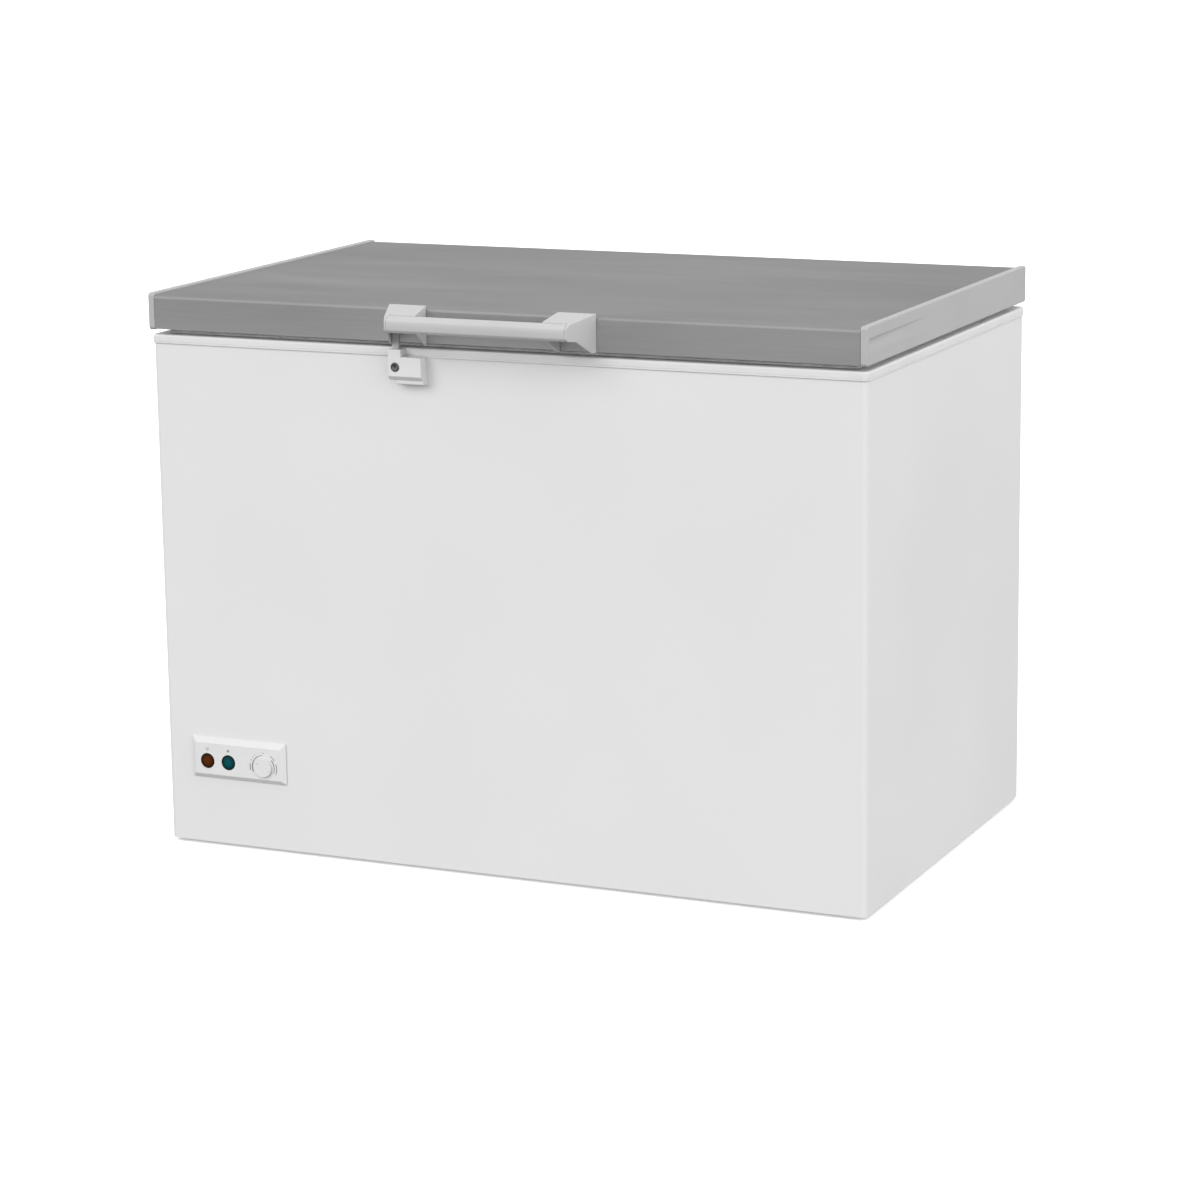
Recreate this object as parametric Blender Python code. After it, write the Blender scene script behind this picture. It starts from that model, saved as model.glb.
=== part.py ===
"""Chest freezer: cabinet, hinged lid, lock, control panel, cooling circuit and sliding basket.

Metres, +Z up. X runs along the width, the front faces -Y, and z = 0 is the floor.
"""

import math

import bmesh
import bpy
from mathutils import Matrix, Vector

# ---------------------------------------------------------------- cabinet
CABINET_WIDTH = 1.130
CABINET_DEPTH = 0.700
CABINET_HEIGHT = 0.783  # floor to the top of the collar
WRAP_LIFT = 0.005  # floor to the wrap's lower edge
SHEET = 0.0008
WRAP_CORNER = 0.008
WRAP_RETURN = 0.025  # how far the wrap folds in at the back
SEAT_GAP = 0.0003  # between pieces that touch
CORNER_STEPS = 4

PAN_LIFT = 0.011
PAN_SHEET = 0.001
PAN_EDGE = 0.018
FOOT_RADIUS = 0.019
FOOT_INSET = 0.070
FOOT_CHAMFER = 0.003

WALL = 0.070  # outer wrap to the liner's outside
FLOOR = 0.078
LINER_SHEET = 0.0012
LINER_CORNER = 0.030
LINER_STEPS = 3
STEP_WALL = 0.060  # foam between the bay and the tub's step

BAY_WIDTH = 0.232
BAY_HEIGHT = 0.285
SHROUD_SHEET = 0.001

# ---------------------------------------------------------------- collar
COLLAR_HEIGHT = 0.0132
COLLAR_OVERHANG = 0.002
COLLAR_PLATE = 0.003
COLLAR_ROUND = 0.003
COLLAR_SKIRT = 0.003  # the inner skirt's thickness
LEDGE_DROP = 0.026  # collar top to the basket ledge
LEDGE_WIDTH = 0.008
LEDGE_PLATE = 0.003

# ---------------------------------------------------------------- lid
LID_GAP = 0.0088  # collar top to the lid's lower edge
LID_THICKNESS = 0.051
LID_FRONT_OVERHANG = 0.0064
LID_BACK_OVERHANG = 0.0025
LID_SIDE_OVERHANG = 0.002
LID_BEND = 0.006
LID_LIP = 0.010
LID_SHEET = 0.0008
LID_LINER_SHEET = 0.0015
PLUG_CLEARANCE = 0.0043  # basket ledge to the liner's raised middle
PLUG_DROP = 0.020
PLUG_CORNER = 0.030
GASKET_INSET = 0.020
GASKET_WIDTH = 0.014
GASKET_CORNER = 0.010

CAP_WIDTH = 0.0105
CAP_RISE = 0.003
CAP_DROP = 0.0015
CAP_PROUD = 0.001
CAP_CORNER = 0.005
CAP_BEVEL = 0.002
RECESS_START = 0.009  # from the cap's front edge
RECESS_LENGTH = 0.262
RECESS_DEPTH = 0.0075
RECESS_HEIGHT = 0.0245
RECESS_SLOPE = 0.011  # height taken by the recess's sloping lower wall
RECESS_BELOW = 0.017  # recess top to the cap's top

# ---------------------------------------------------------------- handle
HANDLE_OUT = 0.059  # lid front to the bar's front
HANDLE_SPAN = 0.327  # over the brackets, at the lid
BRACKET_WIDTH = 0.0595
BRACKET_SPLAY = 0.352  # how fast the outer wall closes in towards the bar
BRACKET_LEAN = 0.10  # the same for the inner wall
BRACKET_WALL = 0.0028
BRACKET_RISE = 0.0035  # above the lid's skin
BAR_HEIGHT = 0.024
BAR_DEPTH = 0.0145
BAR_DROP = 0.010  # bracket top to bar top
BAR_CROWN = 0.007  # bar front to where its flat top starts
BAR_SHOULDER = 0.006  # bar top to the front facets
BAR_SLANT = 0.001  # how far the upper facet leans back
BAR_HEEL = 0.004
BAR_SOLE = 0.005
BAR_ROUND = 0.003
BRACKET_CHAMFER = 0.016  # depth that the sloping underside leaves at the lid
BRACKET_SOLE = 0.020  # bar front to where the underside starts to slope

# ---------------------------------------------------------------- lock
LOCK_INWARD = 0.002  # bracket's outer edge to the housing's left side
LOCK_WIDTH = 0.053
LOCK_HEIGHT = 0.0345
LOCK_TOP_BELOW = 0.0115  # collar top to the housing's top
LOCK_DEPTH = 0.020
LOCK_WALL = 0.002
LOCK_CHAMFER = 0.006
LOCK_LIP_START = 0.010  # housing's left side to the start of its lower lip
THROAT_WIDTH = 0.021
BARREL_RADIUS = 0.0064
BARREL_FROM_LEFT = 0.0115
BARREL_BELOW = 0.0150  # housing top to the barrel's axis
BARREL_LENGTH = 0.006
BARREL_SHAFT = 0.0024
BARREL_PROUD = 0.0012
CAM_RADIUS = 0.0065
CAM_THICKNESS = 0.003
CAM_CLEARANCE = 0.0005
TONGUE_WIDTH = 0.0106
TONGUE_NARROWING = 0.0055  # height over which the strip becomes the blade
TONGUE_THICKNESS = 0.003
TONGUE_TIP = 0.013  # below the barrel's axis
KEY_SLOT = 0.0016

# ---------------------------------------------------------------- control panel
PANEL_FROM_LEFT = 0.0433  # cabinet's left side to the panel
PANEL_WIDTH = 0.1612
PANEL_BOTTOM = 0.1073
PANEL_HEIGHT = 0.0637
PANEL_PROUD = 0.006
PANEL_SIDE_BEVEL = 0.007
PANEL_TOP_BEVEL = 0.0093
PANEL_BOTTOM_BEVEL = 0.006
PANEL_FACE = 0.0025
SPIGOT_INSET = 0.009
SPIGOT_DEPTH = 0.012
SPIGOT_CLEARANCE = 0.0006
LENS_RADIUS = 0.0116
LENS_CLEARANCE = 0.0003
LENS_CROWN = 0.0008
AMBER_ALONG = 0.0277  # panel's left edge to the amber lens
GREEN_ALONG = 0.0637
DIAL_ALONG = 0.1242
LAMPS_UP = 0.0267  # panel's bottom edge to the lamps' middle
DIAL_UP = 0.0248
DIAL_RADIUS = 0.0145
DIAL_THICKNESS = 0.0032
DIAL_SLOT = 0.0024
DIAL_SLOT_ANGLE = math.radians(28)
DIAL_SHAFT = 0.003
LAMP_RADIUS = 0.007
LAMP_LENGTH = 0.022
THERMOSTAT = Vector((0.030, 0.026, 0.024))

# ---------------------------------------------------------------- cooling circuit
POT_RADIUS = 0.074
POT_HEIGHT = 0.165
POT_FROM_LEFT = 0.125
POT_FROM_BACK = 0.165
PLATE_SIZE = Vector((0.184, 0.150, 0.003))
MOUNT_RADIUS = 0.012
MOUNT_HEIGHT = 0.022
MOUNT_INSET = 0.018
RELAY = Vector((0.030, 0.052, 0.060))
EVAPORATOR_TUBE = 0.008
EVAPORATOR_TURNS = 5
EVAPORATOR_BAND = 0.0095
EXIT_FROM_BACK = 0.100
EXIT_SPACING = 0.060
CONDENSER_TUBE = 0.005
CONDENSER_RUNS = 5
CONDENSER_BAND = 0.0065
DISCHARGE_TUBE = 0.006
PIPE_STUB = 0.040  # how far the pipes reach down into the bay
DRIER_RADIUS = 0.010
DRIER_LENGTH = 0.110

# ---------------------------------------------------------------- back
GRILLE_WIDTH = 0.170
GRILLE_HEIGHT = 0.180
GRILLE_LIFT = 0.045
GRILLE_MARGIN = 0.004  # wrap's return to the grille's flange
GRILLE_PLATE = 0.002
GRILLE_FLANGE = 0.010
GRILLE_SLOTS = 9
GRILLE_SLOT_HEIGHT = 0.007
GLAND_RADIUS = 0.011
GLAND_BORE = 0.004
GLAND_OUT = 0.012

HINGE_SPACING = 0.760
HINGE_WIDTH = 0.048
HINGE_SHEET = 0.0025
HINGE_BACK = 0.020  # cabinet back to the pin's axis
HINGE_DROP = 0.005  # collar top down to the pin's axis
HINGE_EAR = 0.009  # the ear's radius round the pin
HINGE_PLATE_HEIGHT = 0.105
PIN_RADIUS = 0.0035
PIN_CLEARANCE = 0.0003
KNUCKLE_RADIUS = 0.0065
KNUCKLE_WIDTH = 0.022
SIDE_PLAY = 0.0008
SPRING_WIRE = 0.0022
SPRING_TURNS = 4
ARM_HEIGHT = 0.042
SCREW_HEAD = 0.0055
SCREW_RISE = 0.0026

# ---------------------------------------------------------------- tub fittings
BASKET_WIDTH = 0.270
BASKET_HEIGHT = 0.205
BASKET_WALL = 0.004
BASKET_TAPER = 0.024
BASKET_RIM = 0.005
BASKET_START = 0.022  # liner's left wall to the basket
BASKET_PLAY = 0.0015
DRAIN_RADIUS = 0.011
DRAIN_BORE = 0.0085
DRAIN_FROM_RIGHT = 0.165
DRAIN_FLANGE = 0.019
DRAIN_FLANGE_PLATE = 0.003

# ---------------------------------------------------------------- worked out
HINGE_REACH = HINGE_BACK + HINGE_EAR
HANDLE_REACH = LID_FRONT_OVERHANG + HANDLE_OUT
COLLAR_CORNER = WRAP_CORNER + COLLAR_OVERHANG
MOUTH_INSET = WALL + COLLAR_SKIRT + SEAT_GAP + LEDGE_WIDTH  # cabinet's side to the ledge's inner edge
PLUG_INSET = LID_FRONT_OVERHANG + MOUTH_INSET + PLUG_CLEARANCE
LOCK_LEFT = LOCK_INWARD - HANDLE_SPAN / 2
FRONT = (HANDLE_REACH - CABINET_DEPTH - HINGE_REACH) / 2
BACK = FRONT + CABINET_DEPTH
HALF = CABINET_WIDTH / 2
COLLAR_BOTTOM = CABINET_HEIGHT - COLLAR_HEIGHT
WRAP_TOP = CABINET_HEIGHT - COLLAR_PLATE - SEAT_GAP
LEDGE_TOP = CABINET_HEIGHT - LEDGE_DROP
LINER_TOP = LEDGE_TOP - LEDGE_PLATE - SEAT_GAP
PAN_TOP = PAN_LIFT + PAN_SHEET
BACK_SHEET_INSIDE = BACK - 2 * SHEET - 2 * SEAT_GAP
INSIDE = SHEET + PAN_SHEET + 2 * SEAT_GAP  # wrap's outside to whatever stands inside the pan's edge
TUB_HALF = HALF - WALL
TUB_FRONT = FRONT + WALL
TUB_BACK = BACK - WALL
TUB_FLOOR = FLOOR
STEP_X = -HALF + BAY_WIDTH + STEP_WALL
STEP_Z = BAY_HEIGHT + STEP_WALL
SHROUD_X = -HALF + BAY_WIDTH
LID_BOTTOM = CABINET_HEIGHT + LID_GAP
LID_TOP = LID_BOTTOM + LID_THICKNESS
LID_FRONT = FRONT - LID_FRONT_OVERHANG
LID_BACK = BACK + LID_BACK_OVERHANG
LID_HALF = HALF + LID_SIDE_OVERHANG
SKIN_HALF = LID_HALF - CAP_WIDTH
CAP_BOTTOM = LID_BOTTOM - CAP_DROP
CAP_TOP = LID_TOP + CAP_RISE
LID_LINER_BOTTOM = LID_BOTTOM + LID_SHEET + SEAT_GAP
LID_LINER_TOP = LID_LINER_BOTTOM + LID_LINER_SHEET
BAR_FRONT = LID_FRONT - HANDLE_OUT
BRACKET_TOP = LID_TOP + BRACKET_RISE
BAR_TOP = BRACKET_TOP - BAR_DROP
BAR_BOTTOM = BAR_TOP - BAR_HEIGHT
LOCK_TOP = CABINET_HEIGHT - LOCK_TOP_BELOW
LOCK_BOTTOM = LOCK_TOP - LOCK_HEIGHT
BARREL_X = LOCK_LEFT + BARREL_FROM_LEFT
BARREL_Z = LOCK_TOP - BARREL_BELOW
LOCK_FACE = FRONT - LOCK_DEPTH
TONGUE_Y = LID_FRONT - SEAT_GAP - TONGUE_THICKNESS / 2
HINGE_Y = BACK + HINGE_BACK
HINGE_Z = CABINET_HEIGHT - HINGE_DROP
PANEL_LEFT = -HALF + PANEL_FROM_LEFT
PANEL_FACE_Y = FRONT - PANEL_PROUD
AMBER_X = PANEL_LEFT + AMBER_ALONG
GREEN_X = PANEL_LEFT + GREEN_ALONG
DIAL_X = PANEL_LEFT + DIAL_ALONG
LAMPS_Z = PANEL_BOTTOM + LAMPS_UP
DIAL_Z = PANEL_BOTTOM + DIAL_UP
DRAIN_X = HALF - DRAIN_FROM_RIGHT
POT_X = -HALF + POT_FROM_LEFT
POT_Y = BACK - POT_FROM_BACK
POT_BOTTOM = PAN_TOP + MOUNT_HEIGHT + PLATE_SIZE.z + 3 * SEAT_GAP

# ---------------------------------------------------------------- finishes: colour, roughness, metallic
WHITE_PAINT = ("white_paint", (0.78, 0.78, 0.78), 0.42, 0.0)
WHITE_PLASTIC = ("white_plastic", (0.80, 0.80, 0.80), 0.38, 0.0)
GREY_PLASTIC = ("grey_plastic", (0.50, 0.50, 0.50), 0.40, 0.0)
GREY_SEAL = ("grey_seal", (0.24, 0.24, 0.25), 0.55, 0.0)
STEEL = ("brushed_steel", (0.34, 0.34, 0.35), 0.34, 1.0)
CHROME = ("chrome", (0.62, 0.62, 0.63), 0.15, 1.0)
ZINC = ("zinc_steel", (0.48, 0.49, 0.50), 0.42, 1.0)
LINER = ("liner_sheet", (0.70, 0.71, 0.72), 0.38, 0.6)
FOAM = ("foam", (0.82, 0.74, 0.50), 0.85, 0.0)
BLACK_ENAMEL = ("black_enamel", (0.02, 0.02, 0.02), 0.35, 0.0)
BLACK_PLASTIC = ("black_plastic", (0.03, 0.03, 0.03), 0.50, 0.0)
RUBBER = ("rubber", (0.03, 0.03, 0.03), 0.80, 0.0)
COPPER = ("copper", (0.72, 0.35, 0.20), 0.30, 1.0)
ALUMINIUM = ("aluminium", (0.60, 0.61, 0.62), 0.35, 1.0)
AMBER = ("amber_glass", (0.075, 0.017, 0.001), 0.15, 0.0)
GREEN = ("green_glass", (0.001, 0.060, 0.070), 0.15, 0.0)


# ---------------------------------------------------------------- modelling tools
def finish(kind):
    """The material of this name, made on first use."""
    name, colour, roughness, metallic = kind
    found = bpy.data.materials.get(name)
    if found:
        return found
    made = bpy.data.materials.new(name)
    made.use_nodes = True
    shader = made.node_tree.nodes["Principled BSDF"]
    shader.inputs["Base Color"].default_value = (*colour, 1)
    shader.inputs["Roughness"].default_value = roughness
    shader.inputs["Metallic"].default_value = metallic
    return made


def from_bmesh(name, bm, kind):
    """A new object from a bmesh whose faces are turned to point out."""
    bmesh.ops.recalc_face_normals(bm, faces=bm.faces)
    mesh = bpy.data.meshes.new(name)
    bm.to_mesh(mesh)
    bm.free()
    thing = bpy.data.objects.new(name, mesh)
    bpy.context.scene.collection.objects.link(thing)
    thing.data.materials.append(finish(kind))
    return thing


def smooth(thing, angle=35):
    """Shades round pieces smooth and keeps their hard edges."""
    thing.data.shade_smooth()
    thing.data.set_sharp_from_angle(angle=math.radians(angle))
    return thing


def add_box(bm, low, high):
    """One box in bm, between two opposite corners."""
    low = Vector(low)
    high = Vector(high)
    place = Matrix.Translation((low + high) / 2) @ Matrix.Diagonal((*(high - low), 1))
    bmesh.ops.create_cube(bm, size=1, matrix=place)


def box(name, low, high, kind, bevel=0.0, steps=2):
    """A box, with an optional bevel on every edge."""
    bm = bmesh.new()
    add_box(bm, low, high)
    thing = from_bmesh(name, bm, kind)
    if bevel:
        add_bevel(thing, bevel, steps)
    return thing


def add_bevel(thing, width, steps=2):
    """Rounds the sharp edges of thing."""
    rounding = thing.modifiers.new("round", "BEVEL")
    rounding.width = width
    rounding.segments = steps
    rounding.limit_method = "ANGLE"


def rounded(corners, steps=CORNER_STEPS, closed=True):
    """Points of an outline whose corners (u, v, radius) become arcs of that radius."""
    points = []
    count = len(corners)
    for index, (u, v, radius) in enumerate(corners):
        corner = Vector((u, v))
        at_end = not closed and index in (0, count - 1)
        if radius <= 0 or at_end:
            points.append(corner)
            continue
        before = Vector(corners[index - 1][:2]) - corner
        after = Vector(corners[(index + 1) % count][:2]) - corner
        before.normalize()
        after.normalize()
        half = before.angle(after) / 2
        centre = corner + (before + after).normalized() * (radius / math.sin(half))
        start = corner + before * (radius / math.tan(half)) - centre
        sweep = start.angle_signed(corner + after * (radius / math.tan(half)) - centre)
        for step in range(steps + 1):
            points.append(centre + Matrix.Rotation(-sweep * step / steps, 2) @ start)
    return points


def inset_path(points, distance):
    """An open path moved sideways to its left by distance, with mitred corners."""
    moved = []
    for index, point in enumerate(points):
        sides = []
        if index > 0:
            sides.append((point - points[index - 1]).normalized())
        if index < len(points) - 1:
            sides.append((points[index + 1] - point).normalized())
        normals = [Vector((-side.y, side.x)) for side in sides]
        if len(normals) == 1:
            moved.append(point + normals[0] * distance)
            continue
        middle = (normals[0] + normals[1]).normalized()
        moved.append(point + middle * (distance / middle.dot(normals[0])))
    return moved


def sheet_outline(corners, thickness, steps=CORNER_STEPS):
    """Closed section of a folded sheet: its outer path, and the same path moved to its left."""
    path = rounded(corners, steps, closed=False)
    return path + inset_path(path, thickness)[::-1]


def rectangle(u_low, u_high, v_low, v_high, radius=0.0):
    """Corners of a rectangle, anticlockwise, for rounded()."""
    corners = (u_low, v_low), (u_high, v_low), (u_high, v_high), (u_low, v_high)
    return [(u, v, radius) for u, v in corners]


def lift(axis, point, along):
    """A 2-D outline point placed in space, for an outline drawn across the given axis."""
    u, v = point
    return {"x": Vector((along, u, v)), "y": Vector((u, along, v)), "z": Vector((u, v, along))}[axis]


def prism(name, outline, axis, low, high, kind):
    """An outline pushed along an axis from low to high."""
    bm = bmesh.new()
    rings = [[bm.verts.new(lift(axis, point, along)) for point in outline] for along in (low, high)]
    bridge(bm, rings)
    bm.faces.new(rings[0])
    bm.faces.new(rings[1])
    return from_bmesh(name, bm, kind)


def bridge(bm, rings):
    """Quads between each pair of neighbouring rings of equal count."""
    for lower, upper in zip(rings, rings[1:]):
        count = len(lower)
        for index in range(count):
            after = (index + 1) % count
            bm.faces.new((lower[index], lower[after], upper[after], upper[index]))


def ring_points(half_x, low_y, high_y, radius, inset, steps):
    """A level rounded rectangle, inset from the given sides."""
    outline = rectangle(-half_x + inset, half_x - inset, low_y + inset, high_y - inset, radius)
    return rounded(outline, steps)


def swept_frame(name, half_x, low_y, high_y, profile, kind, steps=CORNER_STEPS):
    """A closed profile of (inset, z, corner radius) swept round a rectangle."""
    bm = bmesh.new()
    rings = []
    for inset, z, radius in profile:
        points = ring_points(half_x, low_y, high_y, radius, inset, steps)
        rings.append([bm.verts.new((point.x, point.y, z)) for point in points])
    bridge(bm, rings + rings[:1])
    return from_bmesh(name, bm, kind)


def swept_dish(name, half_x, low_y, high_y, profile, kind, steps=CORNER_STEPS):
    """An open profile of (inset, z, corner radius) swept round a rectangle, capped at both ends."""
    bm = bmesh.new()
    rings = []
    for inset, z, radius in profile:
        points = ring_points(half_x, low_y, high_y, radius, inset, steps)
        rings.append([bm.verts.new((point.x, point.y, z)) for point in points])
    bridge(bm, rings)
    bm.faces.new(rings[0])
    bm.faces.new(rings[-1])
    return from_bmesh(name, bm, kind)


TURN_AXES = {
    "x": Matrix.Rotation(math.radians(90), 4, "Y"),
    "-y": Matrix.Rotation(math.radians(90), 4, "X"),
    "y": Matrix.Rotation(math.radians(-90), 4, "X"),
    "z": Matrix.Identity(4),
}


def turned(name, profile, centre, axis, kind, steps=24, hollow=False):
    """A profile of (radius, height) turned about an axis; hollow closes it as a ring."""
    bm = bmesh.new()
    rings = []
    for radius, height in profile:
        angles = [math.tau * index / steps for index in range(steps)]
        rings.append([bm.verts.new((radius * math.cos(a), radius * math.sin(a), height)) for a in angles])
    bridge(bm, rings + rings[:1] if hollow else rings)
    if not hollow:
        bm.faces.new(rings[0])
        bm.faces.new(rings[-1])
    bmesh.ops.transform(bm, matrix=Matrix.Translation(centre) @ TURN_AXES[axis], verts=bm.verts)
    return smooth(from_bmesh(name, bm, kind))


def tube(name, route, diameter, kind, resolution=1):
    """A round tube along a route of points."""
    curve = bpy.data.curves.new(name, "CURVE")
    curve.dimensions = "3D"
    curve.bevel_depth = diameter / 2
    curve.bevel_resolution = resolution
    curve.use_fill_caps = True
    spline = curve.splines.new("POLY")
    spline.points.add(len(route) - 1)
    for point, place in zip(spline.points, route):
        point.co = (*place, 1)
    curve.materials.append(finish(kind))
    thing = bpy.data.objects.new(name, curve)
    bpy.context.scene.collection.objects.link(thing)
    return thing


def boolean(target, tool, operation):
    """Joins a tool to target, or cuts it away, and takes the tool out of the model."""
    tool.hide_render = True
    tool.display_type = "WIRE"
    change = target.modifiers.new(operation.lower(), "BOOLEAN")
    change.operation = operation
    change.object = tool
    return target


def cut(target, *tools):
    """Cuts tools away from target."""
    for tool in tools:
        boolean(target, tool, "DIFFERENCE")
    return target


def join(target, *tools):
    """Joins tools to target."""
    for tool in tools:
        boolean(target, tool, "UNION")
    return target


def boxes(name, corners, kind):
    """Several separate boxes in one object, for cutting a row of slots at once."""
    bm = bmesh.new()
    for low, high in corners:
        add_box(bm, low, high)
    return from_bmesh(name, bm, kind)


# ---------------------------------------------------------------- cabinet shell
def wrap_section(outside, radius):
    """The wrap's plan: back-left return, left side, front, right side, back-right return."""
    inner = HALF - WRAP_RETURN
    side = HALF - outside
    return [
        (-inner, BACK - outside, 0),
        (-side, BACK - outside, radius),
        (-side, FRONT + outside, radius),
        (side, FRONT + outside, radius),
        (side, BACK - outside, radius),
        (inner, BACK - outside, 0),
    ]


def make_outer_wrap():
    """Painted sheet round the front and both sides, open where the control panel plugs in."""
    outline = sheet_outline(wrap_section(0, WRAP_CORNER), SHEET)
    wrap = prism("outer_wrap", outline, "z", WRAP_LIFT, WRAP_TOP, WHITE_PAINT)
    low_x, high_x, low_z, high_z = spigot_outline(-SPIGOT_CLEARANCE)
    hole = box("cut_panel", (low_x, FRONT - WALL, low_z), (high_x, FRONT + WALL / 2, high_z), WHITE_PAINT)
    return cut(wrap, hole)


def grille_box():
    """Left, right, bottom and top of the grille's opening."""
    left = -HALF + WRAP_RETURN + GRILLE_MARGIN + GRILLE_FLANGE
    bottom = PAN_LIFT + GRILLE_LIFT
    return left, left + GRILLE_WIDTH, bottom, bottom + GRILLE_HEIGHT


def make_back_panel():
    """Flat sheet behind the wrap's returns, with openings for the grille and the gland."""
    edge = HALF - WRAP_CORNER
    outer = BACK - SHEET - SEAT_GAP
    panel = box("back_panel", (-edge, outer - SHEET, WRAP_LIFT), (edge, outer, WRAP_TOP), WHITE_PAINT)
    left, right, bottom, top = grille_box()
    opening = box("cut_grille", (left, BACK - WALL, bottom), (right, BACK + WALL, top), WHITE_PAINT)
    return cut(panel, opening, gland_hole())


def make_base_pan():
    """Zinc-plated tray inside the wrap's lower edge."""
    side = SHEET + SEAT_GAP
    outer = rectangle(-HALF + side, HALF - side, FRONT + side, BACK_SHEET_INSIDE, WRAP_CORNER - side)
    inner_side = side + PAN_SHEET
    inner = rectangle(
        -HALF + inner_side,
        HALF - inner_side,
        FRONT + inner_side,
        BACK_SHEET_INSIDE - PAN_SHEET,
        WRAP_CORNER - inner_side,
    )
    pan = prism("base_pan", rounded(outer), "z", PAN_LIFT, PAN_LIFT + PAN_EDGE, ZINC)
    hollow = prism("cut_pan", rounded(inner), "z", PAN_TOP, PAN_LIFT + 2 * PAN_EDGE, ZINC)
    drain = turned("cut_pan_drain", drain_hole_profile(0), (DRAIN_X, 0, 0), "z", ZINC)
    return cut(pan, hollow, drain)


def make_feet():
    """Four low glides under the base pan."""
    for row, y in (("front", FRONT + FOOT_INSET), ("back", BACK - FOOT_INSET)):
        for side, x in (("left", -HALF + FOOT_INSET), ("right", HALF - FOOT_INSET)):
            profile = [
                (FOOT_RADIUS - FOOT_CHAMFER, 0),
                (FOOT_RADIUS, FOOT_CHAMFER),
                (FOOT_RADIUS, PAN_LIFT - SEAT_GAP),
            ]
            turned(f"foot_{row}_{side}", profile, (x, y, 0), "z", BLACK_PLASTIC, steps=20)


def inside_y(clear=0.0):
    """Front and back limits for what stands between the pan's edges."""
    return FRONT + INSIDE + clear, BACK_SHEET_INSIDE - PAN_SHEET - SEAT_GAP - clear


def make_bay_shroud():
    """Sheet wall and roof that part the compressor bay from the foam."""
    low_y, high_y = inside_y()
    section = [
        (-HALF + 0.75 * WRAP_CORNER, BAY_HEIGHT, 0),
        (SHROUD_X, BAY_HEIGHT, WRAP_CORNER),
        (SHROUD_X, PAN_TOP + SEAT_GAP, 0),
    ]
    shroud = prism("bay_shroud", sheet_outline(section, -SHROUD_SHEET), "y", low_y, high_y, ZINC)
    for tool in pipe_holes("shroud"):
        cut(shroud, tool)
    return shroud


# ---------------------------------------------------------------- tub and foam
def tub_solid(name, grow, kind, rise=0.0):
    """The tub's filled shape, grown outwards, with the compressor step at its left end."""
    left = -TUB_HALF - grow
    right = TUB_HALF + grow
    step_x = STEP_X - grow
    step_z = STEP_Z - grow
    floor = TUB_FLOOR - grow
    top = LINER_TOP + 3 * LINER_CORNER + rise
    outline = [Vector(p) for p in ((left, step_z), (step_x, step_z), (step_x, floor), (right, floor))]
    outline += [Vector((right, top)), Vector((left, top))]
    tub = prism(name, outline, "y", TUB_FRONT - grow, TUB_BACK + grow, kind)
    add_bevel(tub, LINER_CORNER + grow, LINER_STEPS)
    return tub


def top_cutter(name, height):
    """Everything of the cabinet above a height."""
    reach = 2 * CABINET_DEPTH
    return box(name, (-reach, -reach, height), (reach, reach, height + CABINET_HEIGHT), FOAM)


def drain_hole_profile(clear):
    """A tall cutter for the drain's way through the floor."""
    radius = DRAIN_RADIUS + SEAT_GAP + clear
    return [(radius, 0), (radius, TUB_FLOOR + LINER_CORNER)]


def make_inner_liner():
    """Sheet tub with the step."""
    liner = tub_solid("inner_liner", 0, LINER)
    cut(liner, tub_solid("cut_liner", -LINER_SHEET, LINER, rise=LINER_CORNER))
    cut(liner, top_cutter("cut_liner_top", LINER_TOP))
    drain = turned("cut_liner_drain", drain_hole_profile(0), (DRAIN_X, 0, 0), "z", LINER)
    return cut(liner, drain)


def band_box(grow, low_z, high_z, name, steps=LINER_STEPS):
    """A rounded block round the tub between two heights."""
    half = TUB_HALF + grow
    outline = rectangle(-half, half, TUB_FRONT - grow, TUB_BACK + grow, LINER_CORNER + grow)
    return prism(name, rounded(outline, steps), "z", low_z, high_z, FOAM)


def evaporator_heights():
    """Lowest and highest axis of the evaporator's turns."""
    low = STEP_Z + LINER_CORNER + 2 * EVAPORATOR_TUBE
    return low, LINER_TOP - 8 * EVAPORATOR_TUBE


def condenser_heights():
    """Lowest and highest axis of the condenser's runs."""
    return BAY_HEIGHT + 6 * CONDENSER_TUBE, WRAP_TOP - 18 * CONDENSER_TUBE


def evaporator_exits():
    """Where the evaporator's two ends come down through the foam: x, y of each."""
    x = -TUB_HALF - EVAPORATOR_TUBE / 2 - SEAT_GAP
    y = TUB_BACK - EXIT_FROM_BACK
    return (x, y), (x - 1.25 * EVAPORATOR_TUBE, y - EXIT_SPACING)


def pipe_holes(tag):
    """Cutters for the pipes that pass the bay's roof and the foam above it."""
    low = BAY_HEIGHT - 4 * SHROUD_SHEET
    tools = []
    for index, (x, y) in enumerate(evaporator_exits()):
        high = evaporator_heights()[1] + 3 * EVAPORATOR_TUBE
        radius = EVAPORATOR_TUBE / 2 + 8 * SEAT_GAP
        profile = [(radius, low), (radius, high)]
        tools.append(turned(f"cut_{tag}_{index}", profile, (x, y, 0), "z", FOAM, steps=8))
    radius = CONDENSER_TUBE / 2 + 4 * SEAT_GAP
    x, y = condenser_start()
    profile = [(radius, low), (radius, condenser_heights()[0] + 2 * CONDENSER_TUBE)]
    tools.append(turned(f"cut_{tag}_condenser", profile, (x, y, 0), "z", FOAM, steps=8))
    return tools


def condenser_start():
    """x, y where the condenser comes up out of the bay."""
    offset = INSIDE + CONDENSER_TUBE / 2 + SEAT_GAP
    return -HALF + offset, BACK - FOOT_INSET - WALL


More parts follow.
